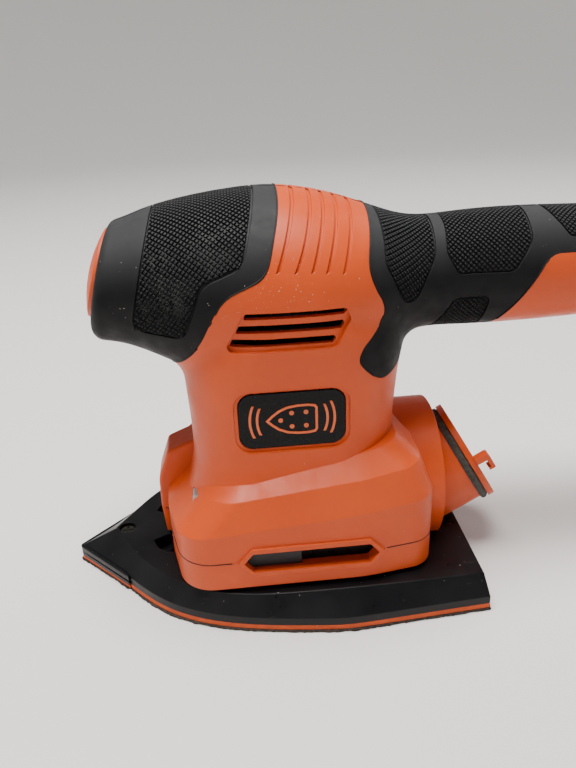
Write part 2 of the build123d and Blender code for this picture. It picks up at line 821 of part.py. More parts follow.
def nose_sleeve_region():
    """Everything ahead of the nose sleeve's rear outline."""
    return edge_prism(NOSE_EDGE, [(-40, 70), (-90, 70), (-90, 145), (8.0, 145)])


def rear_sleeve_region():
    """The wrap behind the neck and the handle, less the hard underside panel."""
    with BuildPart() as region:
        add(edge_prism(REAR_EDGE, [(80, 70), (SLEEVE_END, 70), (SLEEVE_END, 145), (35.8, 145)]))
        with BuildSketch(Plane.XZ.offset(60)):
            with BuildLine():
                FilletPolyline(
                    (73.0, 80), (78.2, 91.2), (90.2, 110.9), (SLEEVE_END + 20, 110.9),
                    (SLEEVE_END + 20, 60), (73.0, 60),
                    radius=[8, 0, 7, 0, 0, 0],
                    close=True,
                )
            make_face()
        extrude(amount=-120, mode=Mode.SUBTRACT)
    return region.part


# Outlines of the knurled patches, as side views (x, z) with corner radii
KNURL_PATCHES = [
    # nose
    ([(-26.6, 140), (-37.4, 97.0), (-22.0, 95.0), (-15.4, 111.2), (-3.6, 115.8), (3.4, 140)],
     [0, 4, 4, 8, 8, 0]),
    # behind the neck
    ([(38.8, 140), (37.4, 112.5), (43.6, 100.4), (47.6, 100.4), (54.6, 112.5), (57.6, 140)],
     [0, 6, 2.6, 2.6, 8, 0]),
    # handle side
    ([(61.8, 140), (57.8, 112.8), (61.2, 106.6), (79.2, 106.2), (85.4, 115.0), (85.4, 140)],
     [0, 5, 3, 4, 6, 0]),
    # handle underside
    ([(51.0, 80), (57.0, 91.6), (60.6, 99.4), (72.2, 99.0), (71.4, 86), (70.6, 80)],
     [0, 4, 4, 2, 3, 0]),
    # handle top, towards the rear
    ([(86.0, 140), (91.4, 123.0), (97.2, 114.8), (138.0, 114.8), (140.0, 140)],
     [0, 8, 5, 5, 0]),
]

grip_hollows = [panel_prism(points, radii, -60, 60) for points, radii in KNURL_PATCHES]

with BuildPart() as nose_sleeve:
    add(skin(UNDER_GRIP, nose_sleeve_region()))
    add(skin(UNDER_KNURL, grip_hollows[0]), mode=Mode.SUBTRACT)
    add(disc(face_plane(ROCKER_RISE, -12), ROCKER_HOLE, 20), mode=Mode.SUBTRACT)
    add(disc(face_plane(ROCKER_RISE, FRAME_BACK), FRAME_RADIUS, FRAME_FRONT - FRAME_BACK),
        mode=Mode.SUBTRACT)

with BuildPart() as rear_sleeve:
    add(skin(UNDER_GRIP, rear_sleeve_region()))
    for hollow in grip_hollows[1:]:
        add(skin(UNDER_KNURL, hollow), mode=Mode.SUBTRACT)


def louvre_slots():
    """Three slant-ended cooling slots through each side of the neck."""
    with BuildPart() as slots:
        for low, high, front, rear in LOUVRES:
            with BuildSketch(Plane.XZ.offset(60)):
                with BuildLine():
                    lean = (high - low) * 0.45
                    FilletPolyline(
                        (front, low), (rear - lean, low), (rear, (low + high) / 2 + 0.3),
                        (rear - lean * 0.6, high), (front + lean, high),
                        radius=0.4,
                        close=True,
                    )
                make_face()
            extrude(amount=-120)
    return slots.part


def louvre_bed():
    """The shallow slant-ended recess that the cooling slots lie in."""
    return skin(UNDER_GRIP, panel_prism(LOUVRE_BED, [1.6, 3, 2, 1.6, 1.6], -60, 60))


def window_prism(grow, depth_from, depth_to):
    """The hexagon-ended dust window, grown all round, cut from both sides."""
    with BuildPart() as prism:
        for side in (1, -1):
            with BuildSketch(Plane.XZ.offset(side * depth_from)):
                with BuildLine():
                    low, high = WINDOW_LOW - grow, WINDOW_HIGH + grow
                    mid = (low + high) / 2
                    nib = (high - low) * 0.42
                    FilletPolyline(
                        (WINDOW_FRONT - grow * 1.3, mid), (WINDOW_FRONT + nib - grow, low),
                        (WINDOW_REAR - nib + grow, low), (WINDOW_REAR + grow * 1.3, mid),
                        (WINDOW_REAR - nib + grow, high), (WINDOW_FRONT + nib - grow, high),
                        radius=0.8,
                        close=True,
                    )
                make_face()
            extrude(amount=side * (depth_to - depth_from))
    return prism.part


def rib_grooves():
    """Five bowed grooves over the crown of the barrel."""
    with BuildPart() as bands:
        for top_x, mid_x, low_x, low_z in RIBS:
            with BuildSketch(Plane.XZ.offset(60)):
                with BuildLine():
                    ThreePointArc((top_x, 140), (mid_x, 124), (low_x, low_z))
                    Line((low_x, low_z), (low_x + RIB_WIDTH, low_z + 0.4))
                    ThreePointArc(
                        (low_x + RIB_WIDTH, low_z + 0.4), (mid_x + RIB_WIDTH, 124),
                        (top_x + RIB_WIDTH, 140),
                    )
                    Line((top_x + RIB_WIDTH, 140), (top_x, 140))
                make_face()
            extrude(amount=-120)
    return bands.part


def badge_recess(grow, y_from, y_to):
    """A rounded oblong pocket on each side of the neck for the maker's plate."""
    with BuildPart() as pocket:
        for side in (1, -1):
            with BuildSketch(Plane.XZ.offset(side * y_from)):
                with Locations((BADGE_X, BADGE_Z)):
                    RectangleRounded(BADGE_LONG + 2 * grow, BADGE_TALL + 2 * grow, 4.5 + grow)
            extrude(amount=side * (y_to - y_from))
    return pocket.part


# Screw posts join the two shells: (x, z, half length inside the shell)
SCREWS = [
    (-27.0, 89.5, 19.0), (40.5, 101.0, 20.0), (88.0, 92.0, 11.5), (134.0, 92.5, 11.0),
    (160.0, 95.0, 19.0), (-23.0, 40.0, 30.0), (48.5, 45.5, 20.0),
]
SCREW_RADIUS = 1.6
HEAD_RADIUS = 3.1
HEAD_SUNK = 4.0
HEAD_TALL = 2.2
POST_RADIUS = 4.0


def screw_ways():
    """Pilot holes across both shells, and sunk seats for the heads on the left."""
    with BuildPart() as ways:
        for x, z, reach in SCREWS:
            add(post(x, z, 3 - reach, reach, SCREW_RADIUS))
            add(post(x, z, reach - HEAD_SUNK - HEAD_TALL, 60, HEAD_RADIUS + 0.2))
    return ways.part


def neck_slab(inset, z_low, z_high):
    """A level slice of the neck's plan, shrunk by inset."""
    with BuildPart() as slab:
        add(neck_form(inset))
        with BuildSketch(Plane.XY.offset(z_low)):
            with Locations((AXIS_X, 0)):
                Rectangle(120, 90)
        extrude(amount=z_high - z_low, mode=Mode.INTERSECT)
    return slab.part


def plate_across_neck(z_low, z_high, hole):
    """A plate that both shells grip all round, with a round hole on the motor axis."""
    with BuildPart() as plate:
        add(neck_slab(SKIN - 1.0, z_low, z_high))
        add(column(AXIS_X, 0, z_low - 1, z_high + 1, hole), mode=Mode.SUBTRACT)
    return plate.part


baffle = plate_across_neck(47.6, 49.6, 9.5)
motor_mount = plate_across_neck(53.0, CAN_LOW, 7.2)
save(baffle, "fan_baffle")
save(motor_mount, "motor_mount_plate")


def port_bore():
    """The spigot's socket, and behind its stop the duct with a flat floor above the pad."""
    with BuildPart() as bore:
        add(disc(port_plane(-40), DUCT_RADIUS, 40))
        add(block((0, 120), (-40, 40), (-40, SKIRT_LOW + 2)), mode=Mode.SUBTRACT)
        add(disc(port_plane(PORT_STOP), PORT_BORE, 20))
    return bore.part


with BuildPart() as port:
    add(disc(port_plane(-34), PORT_RADIUS, 34 - SEAL_HALF))
    add(disc(port_plane(-SEAL_HALF), SEAL_SEAT, 2 * SEAL_HALF))
    add(disc(port_plane(SEAL_HALF), FLANGE_RADIUS, FLANGE_THICK))
    add(block((0, 58.2), (-40, 40), (0, 80)), mode=Mode.SUBTRACT)
    add(block((0, 120), (-40, 40), (-20, SKIRT_LOW)), mode=Mode.SUBTRACT)
    add(port_bore(), mode=Mode.SUBTRACT)
    # Bayonet hook for a dust canister
    hook_face = port_plane(SEAL_HALF + FLANGE_THICK - 0.3)
    hook_side = Plane(origin=hook_face.origin, x_dir=hook_face.z_dir, z_dir=(0, -1, 0))
    with BuildSketch(hook_side.offset(HOOK_Y - 1.8)):
        with BuildLine():
            FilletPolyline(
                (0, 7.4), (5.2, 7.4), (5.2, 1.2), (2.9, 1.2), (2.9, 2.2), (3.8, 2.2),
                (3.8, 5.4), (0, 5.4),
                radius=[0, 1.0, 0.3, 0, 0, 0, 0.6, 0],
                close=True,
            )
        make_face()
    extrude(amount=3.4)
save(port.part, "dust_port")
save(disc(port_plane(-SEAL_HALF), SEAL_RADIUS, 2 * SEAL_HALF, SEAL_SEAT), "port_seal")


def inner_supports():
    """Screw posts, leg sockets and the saddle that holds the motor, inside the shells."""
    with BuildPart() as inside:
        for x, z, reach in SCREWS:
            add(post(x, z, -reach, reach, POST_RADIUS))
        for x, y in LEG_PLACES:
            add(column(x, y, LEG_TOP - 4, 50.0, LEG_RADIUS + 1.6))
        add(UNDER_GRIP, mode=Mode.INTERSECT)
        add(neck_slab(SKIN - 0.6, 80, 83))
        add(column(AXIS_X, 0, 20, 118, CAN_RADIUS + 0.05), mode=Mode.SUBTRACT)
        add(column(AXIS_X, 0, 20, 47, 29), mode=Mode.SUBTRACT)
    return inside.part


def crown_grooves():
    """The part of the five bowed bands that lies in the outermost skin."""
    with BuildPart() as grooves:
        add(OUTER)
        add(rib_grooves(), mode=Mode.INTERSECT)
        add(UNDER_KNURL, mode=Mode.SUBTRACT)
    return grooves.part


with BuildPart() as whole_shell:
    add(OUTER)
    add(INNER, mode=Mode.SUBTRACT)
    add(inner_supports())
    for x, y in LEG_PLACES:
        add(column(x, y, LEG_TOP - 6, LEG_TOP, LEG_RADIUS), mode=Mode.SUBTRACT)
    # The window's frame stands proud of the side, with a deep sill behind it
    add(window_prism(1.6, 33.5, 41.2))
    add(window_prism(0, 30, 60), mode=Mode.SUBTRACT)
    add(louvre_bed(), mode=Mode.SUBTRACT)
    add(louvre_slots(), mode=Mode.SUBTRACT)
    add(badge_recess(1.2, BADGE_FACE - 0.9, 50), mode=Mode.SUBTRACT)
    add(badge_recess(0, BADGE_FACE - 1.9, 50), mode=Mode.SUBTRACT)
    add(crown_grooves(), mode=Mode.SUBTRACT)
    add(nose_sleeve.part, mode=Mode.SUBTRACT)
    add(rear_sleeve.part, mode=Mode.SUBTRACT)
    for hollow in grip_hollows:
        add(skin(UNDER_KNURL, hollow), mode=Mode.SUBTRACT)
    add(disc(face_plane(ROCKER_RISE, -12), ROCKER_HOLE, 20), mode=Mode.SUBTRACT)
    add(disc(face_plane(ROCKER_RISE, FRAME_BACK), FRAME_RADIUS, FRAME_FRONT - FRAME_BACK),
        mode=Mode.SUBTRACT)
    add(baffle, mode=Mode.SUBTRACT)
    add(motor_mount, mode=Mode.SUBTRACT)
    add(block((158, 176), (-9, 9), (DOCK_FLOOR - 1, 96)), mode=Mode.SUBTRACT)
    add(disc(port_plane(-34), PORT_RADIUS, 50), mode=Mode.SUBTRACT)
    add(screw_ways(), mode=Mode.SUBTRACT)

with BuildPart() as skirt_zone:
    add(base_form(0, SKIRT_LOW - 1))
    add(window_prism(1.6, 30, 45))
    add(block((-80, 80), (-60, 60), (SEAM_Z, 90)), mode=Mode.SUBTRACT)
    add(collar_form(0, SKIRT_LOW - 2), mode=Mode.SUBTRACT)

with BuildPart() as skirt:
    add(whole_shell.part)
    add(skirt_zone.part, mode=Mode.INTERSECT)
save(skirt.part, "skirt_ring")

with BuildPart() as shell:
    add(whole_shell.part)
    add(skirt_zone.part, mode=Mode.SUBTRACT)


def badge_plate(side):
    """The plain raised plate on one side of the neck."""
    with BuildPart() as badge:
        with BuildSketch(Plane.XZ.offset(-side * (BADGE_FACE - 1.9))):
            with Locations((BADGE_X, BADGE_Z)):
                RectangleRounded(BADGE_LONG - 0.2, BADGE_TALL - 0.2, 4.4)
        extrude(amount=-side * 1.3)
        chamfer(badge.faces().sort_by(Axis.Y)[-1 if side > 0 else 0].edges(), 0.3)
    return badge.part


with BuildPart() as nose_grip:
    add(nose_sleeve.part)
    add(screw_ways(), mode=Mode.SUBTRACT)

with BuildPart() as handle_grip:
    add(rear_sleeve.part)
    add(screw_ways(), mode=Mode.SUBTRACT)

for left, word in ((True, "left"), (False, "right")):
    save(side_of(shell.part, left), f"housing_{word}")
    save(side_of(nose_grip.part, left), f"nose_grip_{word}")
    save(side_of(handle_grip.part, left), f"handle_grip_{word}")
    save(badge_plate(1 if left else -1), f"badge_{word}")

with BuildPart() as screws:
    for x, z, reach in SCREWS:
        add(post(x, z, 3 - reach, reach - HEAD_SUNK - HEAD_TALL, SCREW_RADIUS - 0.02))
        add(post(x, z, reach - HEAD_SUNK - HEAD_TALL, reach - HEAD_SUNK, HEAD_RADIUS))
        cross = reach - HEAD_SUNK - 1.4
        for long, tall in ((3.6, 0.7), (0.7, 3.6)):
            with BuildSketch(Plane(origin=(x, cross, z), x_dir=(1, 0, 0), z_dir=(0, 1, 0))):
                Rectangle(long, tall)
            extrude(amount=3, mode=Mode.SUBTRACT)
save(screws.part, "housing_screws")

# ---------------------------------------------------------------- nose switch
pivot = face_plane(ROCKER_RISE, -ROCKER_SINK)


def rocker_body(radius, dome_drop, back):
    """A domed round button with ball-shaped sides centred on its pivot."""
    centre = pivot.origin
    dome = 42.0
    crown = face_plane(ROCKER_RISE - 1.5, 3.8 - dome_drop - dome).origin
    with BuildPart() as cap:
        with Locations(centre):
            Sphere(radius)
        with Locations(crown):
            Sphere(dome, mode=Mode.INTERSECT)
        add(disc(face_plane(ROCKER_RISE, back), 30, 30), mode=Mode.INTERSECT)
    return cap.part


with BuildPart() as rocker:
    add(rocker_body(ROCKER_RADIUS, 0, -5.6))
    add(rocker_body(ROCKER_RADIUS - 1.8, 1.8, -6.6), mode=Mode.SUBTRACT)
    # Pivot pins, and the tail that works the switch
    for side in (1, -1):
        y_range = sorted((side * (ROCKER_RADIUS - 1.6), side * (FRAME_RADIUS - 0.3)))
        add(post(pivot.origin.X, pivot.origin.Z, *y_range, PIVOT_RADIUS))
    with BuildSketch(face_plane(ROCKER_RISE, -9.4)):
        Rectangle(5, 3)
    extrude(amount=12.4)
save(rocker.part, "switch_rocker")

with BuildPart() as frame:
    add(disc(face_plane(ROCKER_RISE, FRAME_BACK), FRAME_RADIUS, FRAME_FRONT - FRAME_BACK, ROCKER_HOLE))
    add(disc(face_plane(ROCKER_RISE, FRAME_BACK), FRAME_RADIUS, 1.6))
    add(post(pivot.origin.X, pivot.origin.Z, -30, 30, PIVOT_RADIUS + 0.05), mode=Mode.SUBTRACT)
    with BuildSketch(face_plane(ROCKER_RISE, FRAME_BACK - 1)):
        Rectangle(16, 12)
    extrude(amount=5, mode=Mode.SUBTRACT)
save(frame.part, "switch_frame")

with BuildPart() as switch:
    with BuildSketch(face_plane(ROCKER_RISE, -30)):
        Rectangle(16, 12)
    extrude(amount=19)
save(switch.part, "switch_body")

with BuildPart() as tabs:
    with BuildSketch(face_plane(ROCKER_RISE, -36)):
        with Locations((-5, 0), (5, 0)):
            Rectangle(0.8, 5)
    extrude(amount=6)
save(tabs.part, "switch_terminals")

# ---------------------------------------------------------------- battery dock
with BuildPart() as dock:
    add(block((DOCK_FRONT, DOCK_REAR), (-24, 24), (DOCK_LOW, DOCK_FLOOR), rounding=3))
    for side in (1, -1):
        add(block((DOCK_FRONT + 5, DOCK_REAR + 1), sorted((side * 21, side * 30)), (83, 85.6)),
            mode=Mode.SUBTRACT)
    add(block((DOCK_FRONT + 5, DOCK_REAR + 1), (-12, 12), (DOCK_LOW - 1, 83.5)), mode=Mode.SUBTRACT)
    add(block((158, 176), (-9, 9), (DOCK_LOW, DOCK_FLOOR + 1)), mode=Mode.SUBTRACT)
save(dock.part, "battery_dock")

with BuildPart() as terminal_block:
    add(block((158.2, 175.8), (-8.8, 8.8), (82.6, 93.0), rounding=1))
    for y in BLADES:
        add(block((157, 174), (y - 0.4, y + 0.4), (82, 92)), mode=Mode.SUBTRACT)
save(terminal_block.part, "terminal_block")

with BuildPart() as blades:
    for y in BLADES:
        add(block((159.5, 173.5), (y - 0.35, y + 0.35), (80.8, 91.5)))
save(blades.part, "terminal_blades")


def lead(points, radii, radius):
    """One insulated wire along straight runs joined by arcs."""
    with BuildPart() as wire:
        with BuildLine() as route:
            FilletPolyline(*points, radius=radii)
        with BuildSketch(Plane(origin=route.line @ 0, z_dir=route.line % 0)):
            Circle(radius)
        sweep()
    return wire.part


for y, word in ((3.6, "red"), (-3.6, "black")):
    save(
        lead(
            [(166, y * 0.8, 93.4), (163, y * 0.8, 101.5), (142, y * 0.8, 105), (62, y, 105),
             (44, y, 112), (31, y, 121.5), (8, y * 1.2, 124.2), (-9, y * 1.39, 120.6),
             (-14.6, y * 1.39, 112), (-14.6, y * 1.39, 103.1)],
            [6, 14, 30, 26, 16, 24, 7, 6], 1.1,
        ),
        f"battery_lead_{word}",
    )
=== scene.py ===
"""Detail sander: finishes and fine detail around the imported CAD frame, in metres."""
import json
import math
import random

import bmesh
import bpy
from mathutils import Matrix, Vector
from mathutils.bvhtree import BVHTree


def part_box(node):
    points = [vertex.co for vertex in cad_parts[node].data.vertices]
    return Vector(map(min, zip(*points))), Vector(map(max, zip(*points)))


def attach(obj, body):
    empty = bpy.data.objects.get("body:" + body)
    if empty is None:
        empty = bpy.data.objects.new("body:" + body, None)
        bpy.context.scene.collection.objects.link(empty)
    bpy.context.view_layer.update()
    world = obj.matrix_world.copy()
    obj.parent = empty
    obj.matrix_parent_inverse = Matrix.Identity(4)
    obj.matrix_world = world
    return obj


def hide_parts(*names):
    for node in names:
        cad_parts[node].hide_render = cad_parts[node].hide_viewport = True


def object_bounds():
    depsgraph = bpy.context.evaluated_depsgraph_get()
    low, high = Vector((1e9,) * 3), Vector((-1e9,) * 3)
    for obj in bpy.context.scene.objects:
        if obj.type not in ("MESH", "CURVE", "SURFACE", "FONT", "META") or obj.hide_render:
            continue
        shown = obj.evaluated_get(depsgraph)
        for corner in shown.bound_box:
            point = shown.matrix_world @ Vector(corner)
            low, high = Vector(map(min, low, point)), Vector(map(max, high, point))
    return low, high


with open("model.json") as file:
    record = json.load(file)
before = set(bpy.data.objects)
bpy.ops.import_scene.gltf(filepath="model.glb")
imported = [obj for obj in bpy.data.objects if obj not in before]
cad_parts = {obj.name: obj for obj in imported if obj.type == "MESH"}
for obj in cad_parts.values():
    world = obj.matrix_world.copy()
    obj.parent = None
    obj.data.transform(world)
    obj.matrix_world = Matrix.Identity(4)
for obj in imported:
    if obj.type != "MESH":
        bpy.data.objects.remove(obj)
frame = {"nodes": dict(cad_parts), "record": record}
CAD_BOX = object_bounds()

MM = 0.001
NODES = frame["nodes"]


# ---------------------------------------------------------------- materials
class Shader:
    """One procedural material, built node by node in object space."""

    def __init__(self, name, colour, roughness, **inputs):
        self.material = bpy.data.materials.new(name)
        self.material.use_nodes = True
        self.tree = self.material.node_tree
        self.bsdf = self.tree.nodes["Principled BSDF"]
        self.place = self.node("ShaderNodeTexCoord").outputs["Object"]
        self.bsdf.inputs["Base Color"].default_value = (*colour, 1)
        self.bsdf.inputs["Roughness"].default_value = roughness
        for key, value in inputs.items():
            self.bsdf.inputs[key.replace("_", " ")].default_value = value
        self.colour = None
        self.normal = None
        self.base = (*colour, 1)
        self.rough = roughness

    def node(self, kind, **settings):
        made = self.tree.nodes.new(kind)
        for key, value in settings.items():
            setattr(made, key, value)
        return made

    def feed(self, socket, value):
        if hasattr(value, "links"):
            self.tree.links.new(value, socket)
        else:
            socket.default_value = value

    def stretched(self, scale):
        mapping = self.node("ShaderNodeMapping")
        self.feed(mapping.inputs["Vector"], self.place)
        mapping.inputs["Scale"].default_value = scale
        return mapping.outputs["Vector"]

    def noise(self, scale, detail=3.0, rough=0.55, stretch=None):
        made = self.node("ShaderNodeTexNoise")
        self.feed(made.inputs["Vector"], self.stretched(stretch) if stretch else self.place)
        made.inputs["Scale"].default_value = scale
        made.inputs["Detail"].default_value = detail
        made.inputs["Roughness"].default_value = rough
        return made.outputs["Fac"]

    def cells(self, scale):
        """Distance to the nearest of scattered points."""
        made = self.node("ShaderNodeTexVoronoi")
        self.feed(made.inputs["Vector"], self.place)
        made.inputs["Scale"].default_value = scale
        return made.outputs["Distance"]

    def span(self, value, low, high, out_low=0.0, out_high=1.0):
        made = self.node("ShaderNodeMapRange")
        self.feed(made.inputs["Value"], value)
        ends = {"From Min": low, "From Max": high, "To Min": out_low, "To Max": out_high}
        for key, number in ends.items():
            made.inputs[key].default_value = number
        return made.outputs["Result"]

    def sum(self, operation, first, second):
        made = self.node("ShaderNodeMath", operation=operation)
        self.feed(made.inputs[0], first)
        self.feed(made.inputs[1], second)
        return made.outputs[0]

    def tint(self, amount, colour):
        """Lays colour over what is there, by amount."""
        made = self.node("ShaderNodeMix", data_type="RGBA")
        self.feed(made.inputs[0], amount)
        self.feed(made.inputs[6], self.colour or self.base)
        self.feed(made.inputs[7], (*colour, 1))
        self.colour = made.outputs[2]
        return self

    def polish(self, value, low, high):
        """Roughness between low and high by value."""
        self.rough = self.span(value, 0.3, 0.7, low, high)
        return self

    def bump(self, height, strength, depth):
        made = self.node("ShaderNodeBump")
        self.feed(made.inputs["Height"], height)
        made.inputs["Strength"].default_value = strength
        made.inputs["Distance"].default_value = depth
        if self.normal:
            self.feed(made.inputs["Normal"], self.normal)
        self.normal = made.outputs["Normal"]
        return self

    def soft_edges(self, radius):
        made = self.node("ShaderNodeBevel", samples=4)
        made.inputs["Radius"].default_value = radius
        self.normal = made.outputs["Normal"]
        return self

    def facing_up(self, low, high, most=1.0):
        """Rises from 0 to most as a surface turns to face upward."""
        made = self.node("ShaderNodeSeparateXYZ")
        self.feed(made.inputs[0], self.node("ShaderNodeTexCoord").outputs["Normal"])
        return self.span(made.outputs["Z"], low, high, 0.0, most)

    def finish(self):
        if self.colour:
            self.feed(self.bsdf.inputs["Base Color"], self.colour)
        if self.normal:
            self.feed(self.bsdf.inputs["Normal"], self.normal)
        self.feed(self.bsdf.inputs["Roughness"], self.rough)
        return self.material


def near(shader, point, radius):
    """1 at point, falling to 0 at radius."""
    made = shader.node("ShaderNodeVectorMath", operation="DISTANCE")
    shader.feed(made.inputs[0], shader.place)
    made.inputs[1].default_value = point
    return shader.span(made.outputs["Value"], radius * 0.35, radius, 1.0, 0.0)


def specks(shader, scale, size, share, colour, zone=None, strength=0.9):
    """Scattered pale grains: small discs at a share of random points."""
    spot = shader.span(shader.cells(scale), size * 0.6, size, 1.0, 0.0)
    chosen = shader.span(shader.noise(scale * 0.31, 1.0), 1 - share, 1.02 - share)
    amount = shader.sum("MULTIPLY", spot, chosen)
    amount = shader.sum("MULTIPLY", amount, strength)
    if zone is not None:
        amount = shader.sum("MULTIPLY", amount, zone)
    shader.tint(amount, colour)
    return amount


ORANGE = (0.60, 0.070, 0.0085)
DUST = (0.62, 0.58, 0.50)


def orange_plastic(name="housing_orange"):
    s = Shader(name, ORANGE, 0.45, Specular_IOR_Level=0.30)
    s.soft_edges(0.45 * MM)
    broad = s.noise(38.0, 4.0)
    s.tint(s.span(broad, 0.35, 0.75, 0.0, 0.5), (0.50, 0.054, 0.006))
    s.tint(s.span(s.noise(420.0, 3.0), 0.5, 0.8, 0.0, 0.22), (0.68, 0.092, 0.014))
    s.polish(s.noise(160.0, 4.0), 0.36, 0.52)
    grain = s.noise(2600.0, 2.0, 0.6)
    s.bump(grain, 0.22, 0.05 * MM)
    worn = near(s, (2 * MM, -29 * MM, 109 * MM), 17 * MM)
    specks(s, 1700.0, 0.24, 0.42, DUST, worn, strength=0.6)
    specks(s, 700.0, 0.15, 0.30, DUST, strength=0.4)
    return s.finish()


def grip_rubber(name="grip_rubber", colour=(0.0045, 0.0047, 0.0052)):
    s = Shader(name, colour, 0.62, Specular_IOR_Level=0.15)
    s.soft_edges(0.35 * MM)
    s.tint(s.span(s.noise(45.0, 5.0), 0.4, 0.75, 0.0, 0.55), (0.009, 0.0093, 0.010))
    # painted highlight: rubber facing upward is lightened to grey, as if lit from above
    s.tint(s.facing_up(0.15, 1.0, 0.8), (0.042, 0.043, 0.045))
    s.polish(s.noise(240.0, 4.0), 0.50, 0.70)
    s.bump(s.noise(3200.0, 2.0, 0.7), 0.25, 0.04 * MM)
    specks(s, 620.0, 0.11, 0.33, (0.34, 0.35, 0.33), strength=0.6)
    specks(s, 1300.0, 0.17, 0.31, (0.16, 0.17, 0.16), strength=0.6)
    return s.finish()


def groove_dust():
    s = Shader("groove_dust", (0.016, 0.0165, 0.017), 0.9, Specular_IOR_Level=0.2)
    s.tint(s.span(s.noise(150.0, 4.0), 0.45, 0.72), (0.15, 0.15, 0.145))
    s.bump(s.noise(3000.0, 2.0), 0.3, 0.03 * MM)
    return s.finish()


def platen_plastic():
    s = Shader("platen_black", (0.0045, 0.0045, 0.0055), 0.36, Specular_IOR_Level=0.22)
    s.soft_edges(0.5 * MM)
    s.tint(s.span(s.noise(60.0, 5.0), 0.45, 0.8, 0.0, 0.5), (0.009, 0.009, 0.011))
    s.polish(s.noise(120.0, 5.0), 0.26, 0.46)
    scratch = s.noise(900.0, 2.0, 0.6, stretch=(0.06, 1.0, 1.0))
    s.bump(s.span(scratch, 0.62, 0.70), 0.16, 0.05 * MM)
    s.tint(s.span(scratch, 0.70, 0.78, 0.0, 0.35), (0.12, 0.12, 0.13))
    s.bump(s.noise(1400.0, 2.0), 0.12, 0.04 * MM)
    specks(s, 560.0, 0.13, 0.36, (0.36, 0.36, 0.34), strength=0.7)
    return s.finish()


def cushion_foam():
    s = Shader("cushion_orange", (0.62, 0.085, 0.016), 0.9)
    s.tint(s.span(s.noise(300.0, 4.0), 0.4, 0.75, 0.0, 0.6), (0.36, 0.05, 0.014))
    s.bump(s.cells(1500.0), 0.5, 0.12 * MM)
    specks(s, 900.0, 0.20, 0.42, (0.5, 0.4, 0.3), strength=0.5)
    return s.finish()


def abrasive():
    s = Shader("abrasive_grit", (0.020, 0.015, 0.012), 0.95)
    s.tint(s.span(s.noise(900.0, 4.0, 0.7), 0.45, 0.7), (0.075, 0.050, 0.036))
    s.bump(s.cells(3400.0), 0.9, 0.12 * MM)
    return s.finish()


def felt():
    s = Shader("dusty_felt", (0.030, 0.029, 0.023), 1.0, Sheen_Weight=0.2, Sheen_Roughness=0.6)
    s.tint(s.span(s.noise(700.0, 5.0, 0.7), 0.45, 0.75), (0.11, 0.10, 0.08))
    s.tint(s.span(s.noise(2600.0, 3.0), 0.5, 0.75, 0.0, 0.7), (0.03, 0.028, 0.024))
    s.bump(s.noise(2400.0, 4.0, 0.8), 1.0, 0.3 * MM)
    return s.finish()


def plain(name, colour, rough, fine=1500.0, depth=0.03, mottle=0.35, **inputs):
    """A moulded, turned or stamped finish with a little mottling and grain."""
    s = Shader(name, colour, rough, **inputs)
    s.soft_edges(0.2 * MM)
    darker = tuple(c * 0.62 for c in colour)
    s.tint(s.span(s.noise(220.0, 4.0), 0.4, 0.75, 0.0, mottle), darker)
    s.polish(s.noise(500.0, 3.0), max(rough - 0.08, 0.05), min(rough + 0.10, 1.0))
    s.bump(s.noise(fine, 3.0, 0.6), 0.3, depth * MM)
    return s.finish()


def brushed(name, colour, rough):
    s = Shader(name, colour, rough, Metallic=1.0)
    s.soft_edges(0.15 * MM)
    lines = s.noise(900.0, 2.0, 0.6, stretch=(1.0, 1.0, 0.05))
    s.tint(s.span(lines, 0.4, 0.8, 0.0, 0.4), tuple(c * 0.6 for c in colour))
    s.polish(lines, rough - 0.08, rough + 0.12)
    s.bump(lines, 0.15, 0.03 * MM)
    return s.finish()


FINISHES = {
    "housing_plastic": orange_plastic(),
    "grip_rubber": grip_rubber(),
    "platen_plastic": platen_plastic(),
    "cushion_foam": cushion_foam(),
    "abrasive": abrasive(),
    "felt": felt(),
    "badge_plastic": plain("badge_black", (0.003, 0.003, 0.0034), 0.30, depth=0.01, mottle=0.15,
                           Specular_IOR_Level=0.14),
    "dark_plastic": plain("moulded_black", (0.010, 0.010, 0.011), 0.5, Specular_IOR_Level=0.35),
    "steel": brushed("bright_steel", (0.60, 0.60, 0.62), 0.32),
    "zinc_steel": brushed("aged_zinc", (0.055, 0.053, 0.045), 0.5),
    "copper": plain("enamelled_copper", (0.62, 0.22, 0.08), 0.3, Metallic=1.0),
    "carbon": plain("pressed_carbon", (0.03, 0.03, 0.03), 0.6),
    "magnet": plain("ferrite", (0.05, 0.05, 0.055), 0.5),
    "leg_rubber": plain("leg_rubber", (0.018, 0.018, 0.018), 0.75),
    "tinned": brushed("tinned_brass", (0.72, 0.71, 0.68), 0.25),
    "wire_red": plain("wire_red", (0.45, 0.012, 0.01), 0.4),
    "wire_black": plain("wire_black", (0.012, 0.012, 0.012), 0.4),
}

GROOVE_DUST = groove_dust()
SLOT_OF = {row["node"]: row["material_slot"] for row in frame["record"]["subparts"]}
for node, item in NODES.items():
    item.data.materials.clear()
    item.data.materials.append(FINISHES[SLOT_OF[node]])
    for face in item.data.polygons:
        face.material_index = 0


# ---------------------------------------------------------------- camera, floor, light
def view_axes(azimuth, elevation, roll):
    """Camera X, Y and Z axes for a view from azimuth and elevation, rolled clockwise."""
    a, e, r = (math.radians(v) for v in (azimuth, elevation, roll))
    back = Vector((math.sin(a) * math.cos(e), -math.cos(a) * math.cos(e), math.sin(e)))
    right = Vector((math.cos(a), math.sin(a), 0))
    up = back.cross(right)
    return math.cos(r) * right + math.sin(r) * up, math.cos(r) * up - math.sin(r) * right, back


CAMERA_TARGET = Vector((9.8, 0.0, 65.94)) * MM
CAMERA_DISTANCE = 246.25 * MM
CAMERA_AZIMUTH, CAMERA_ELEVATION, CAMERA_ROLL = -4.64, 25.56, -2.23


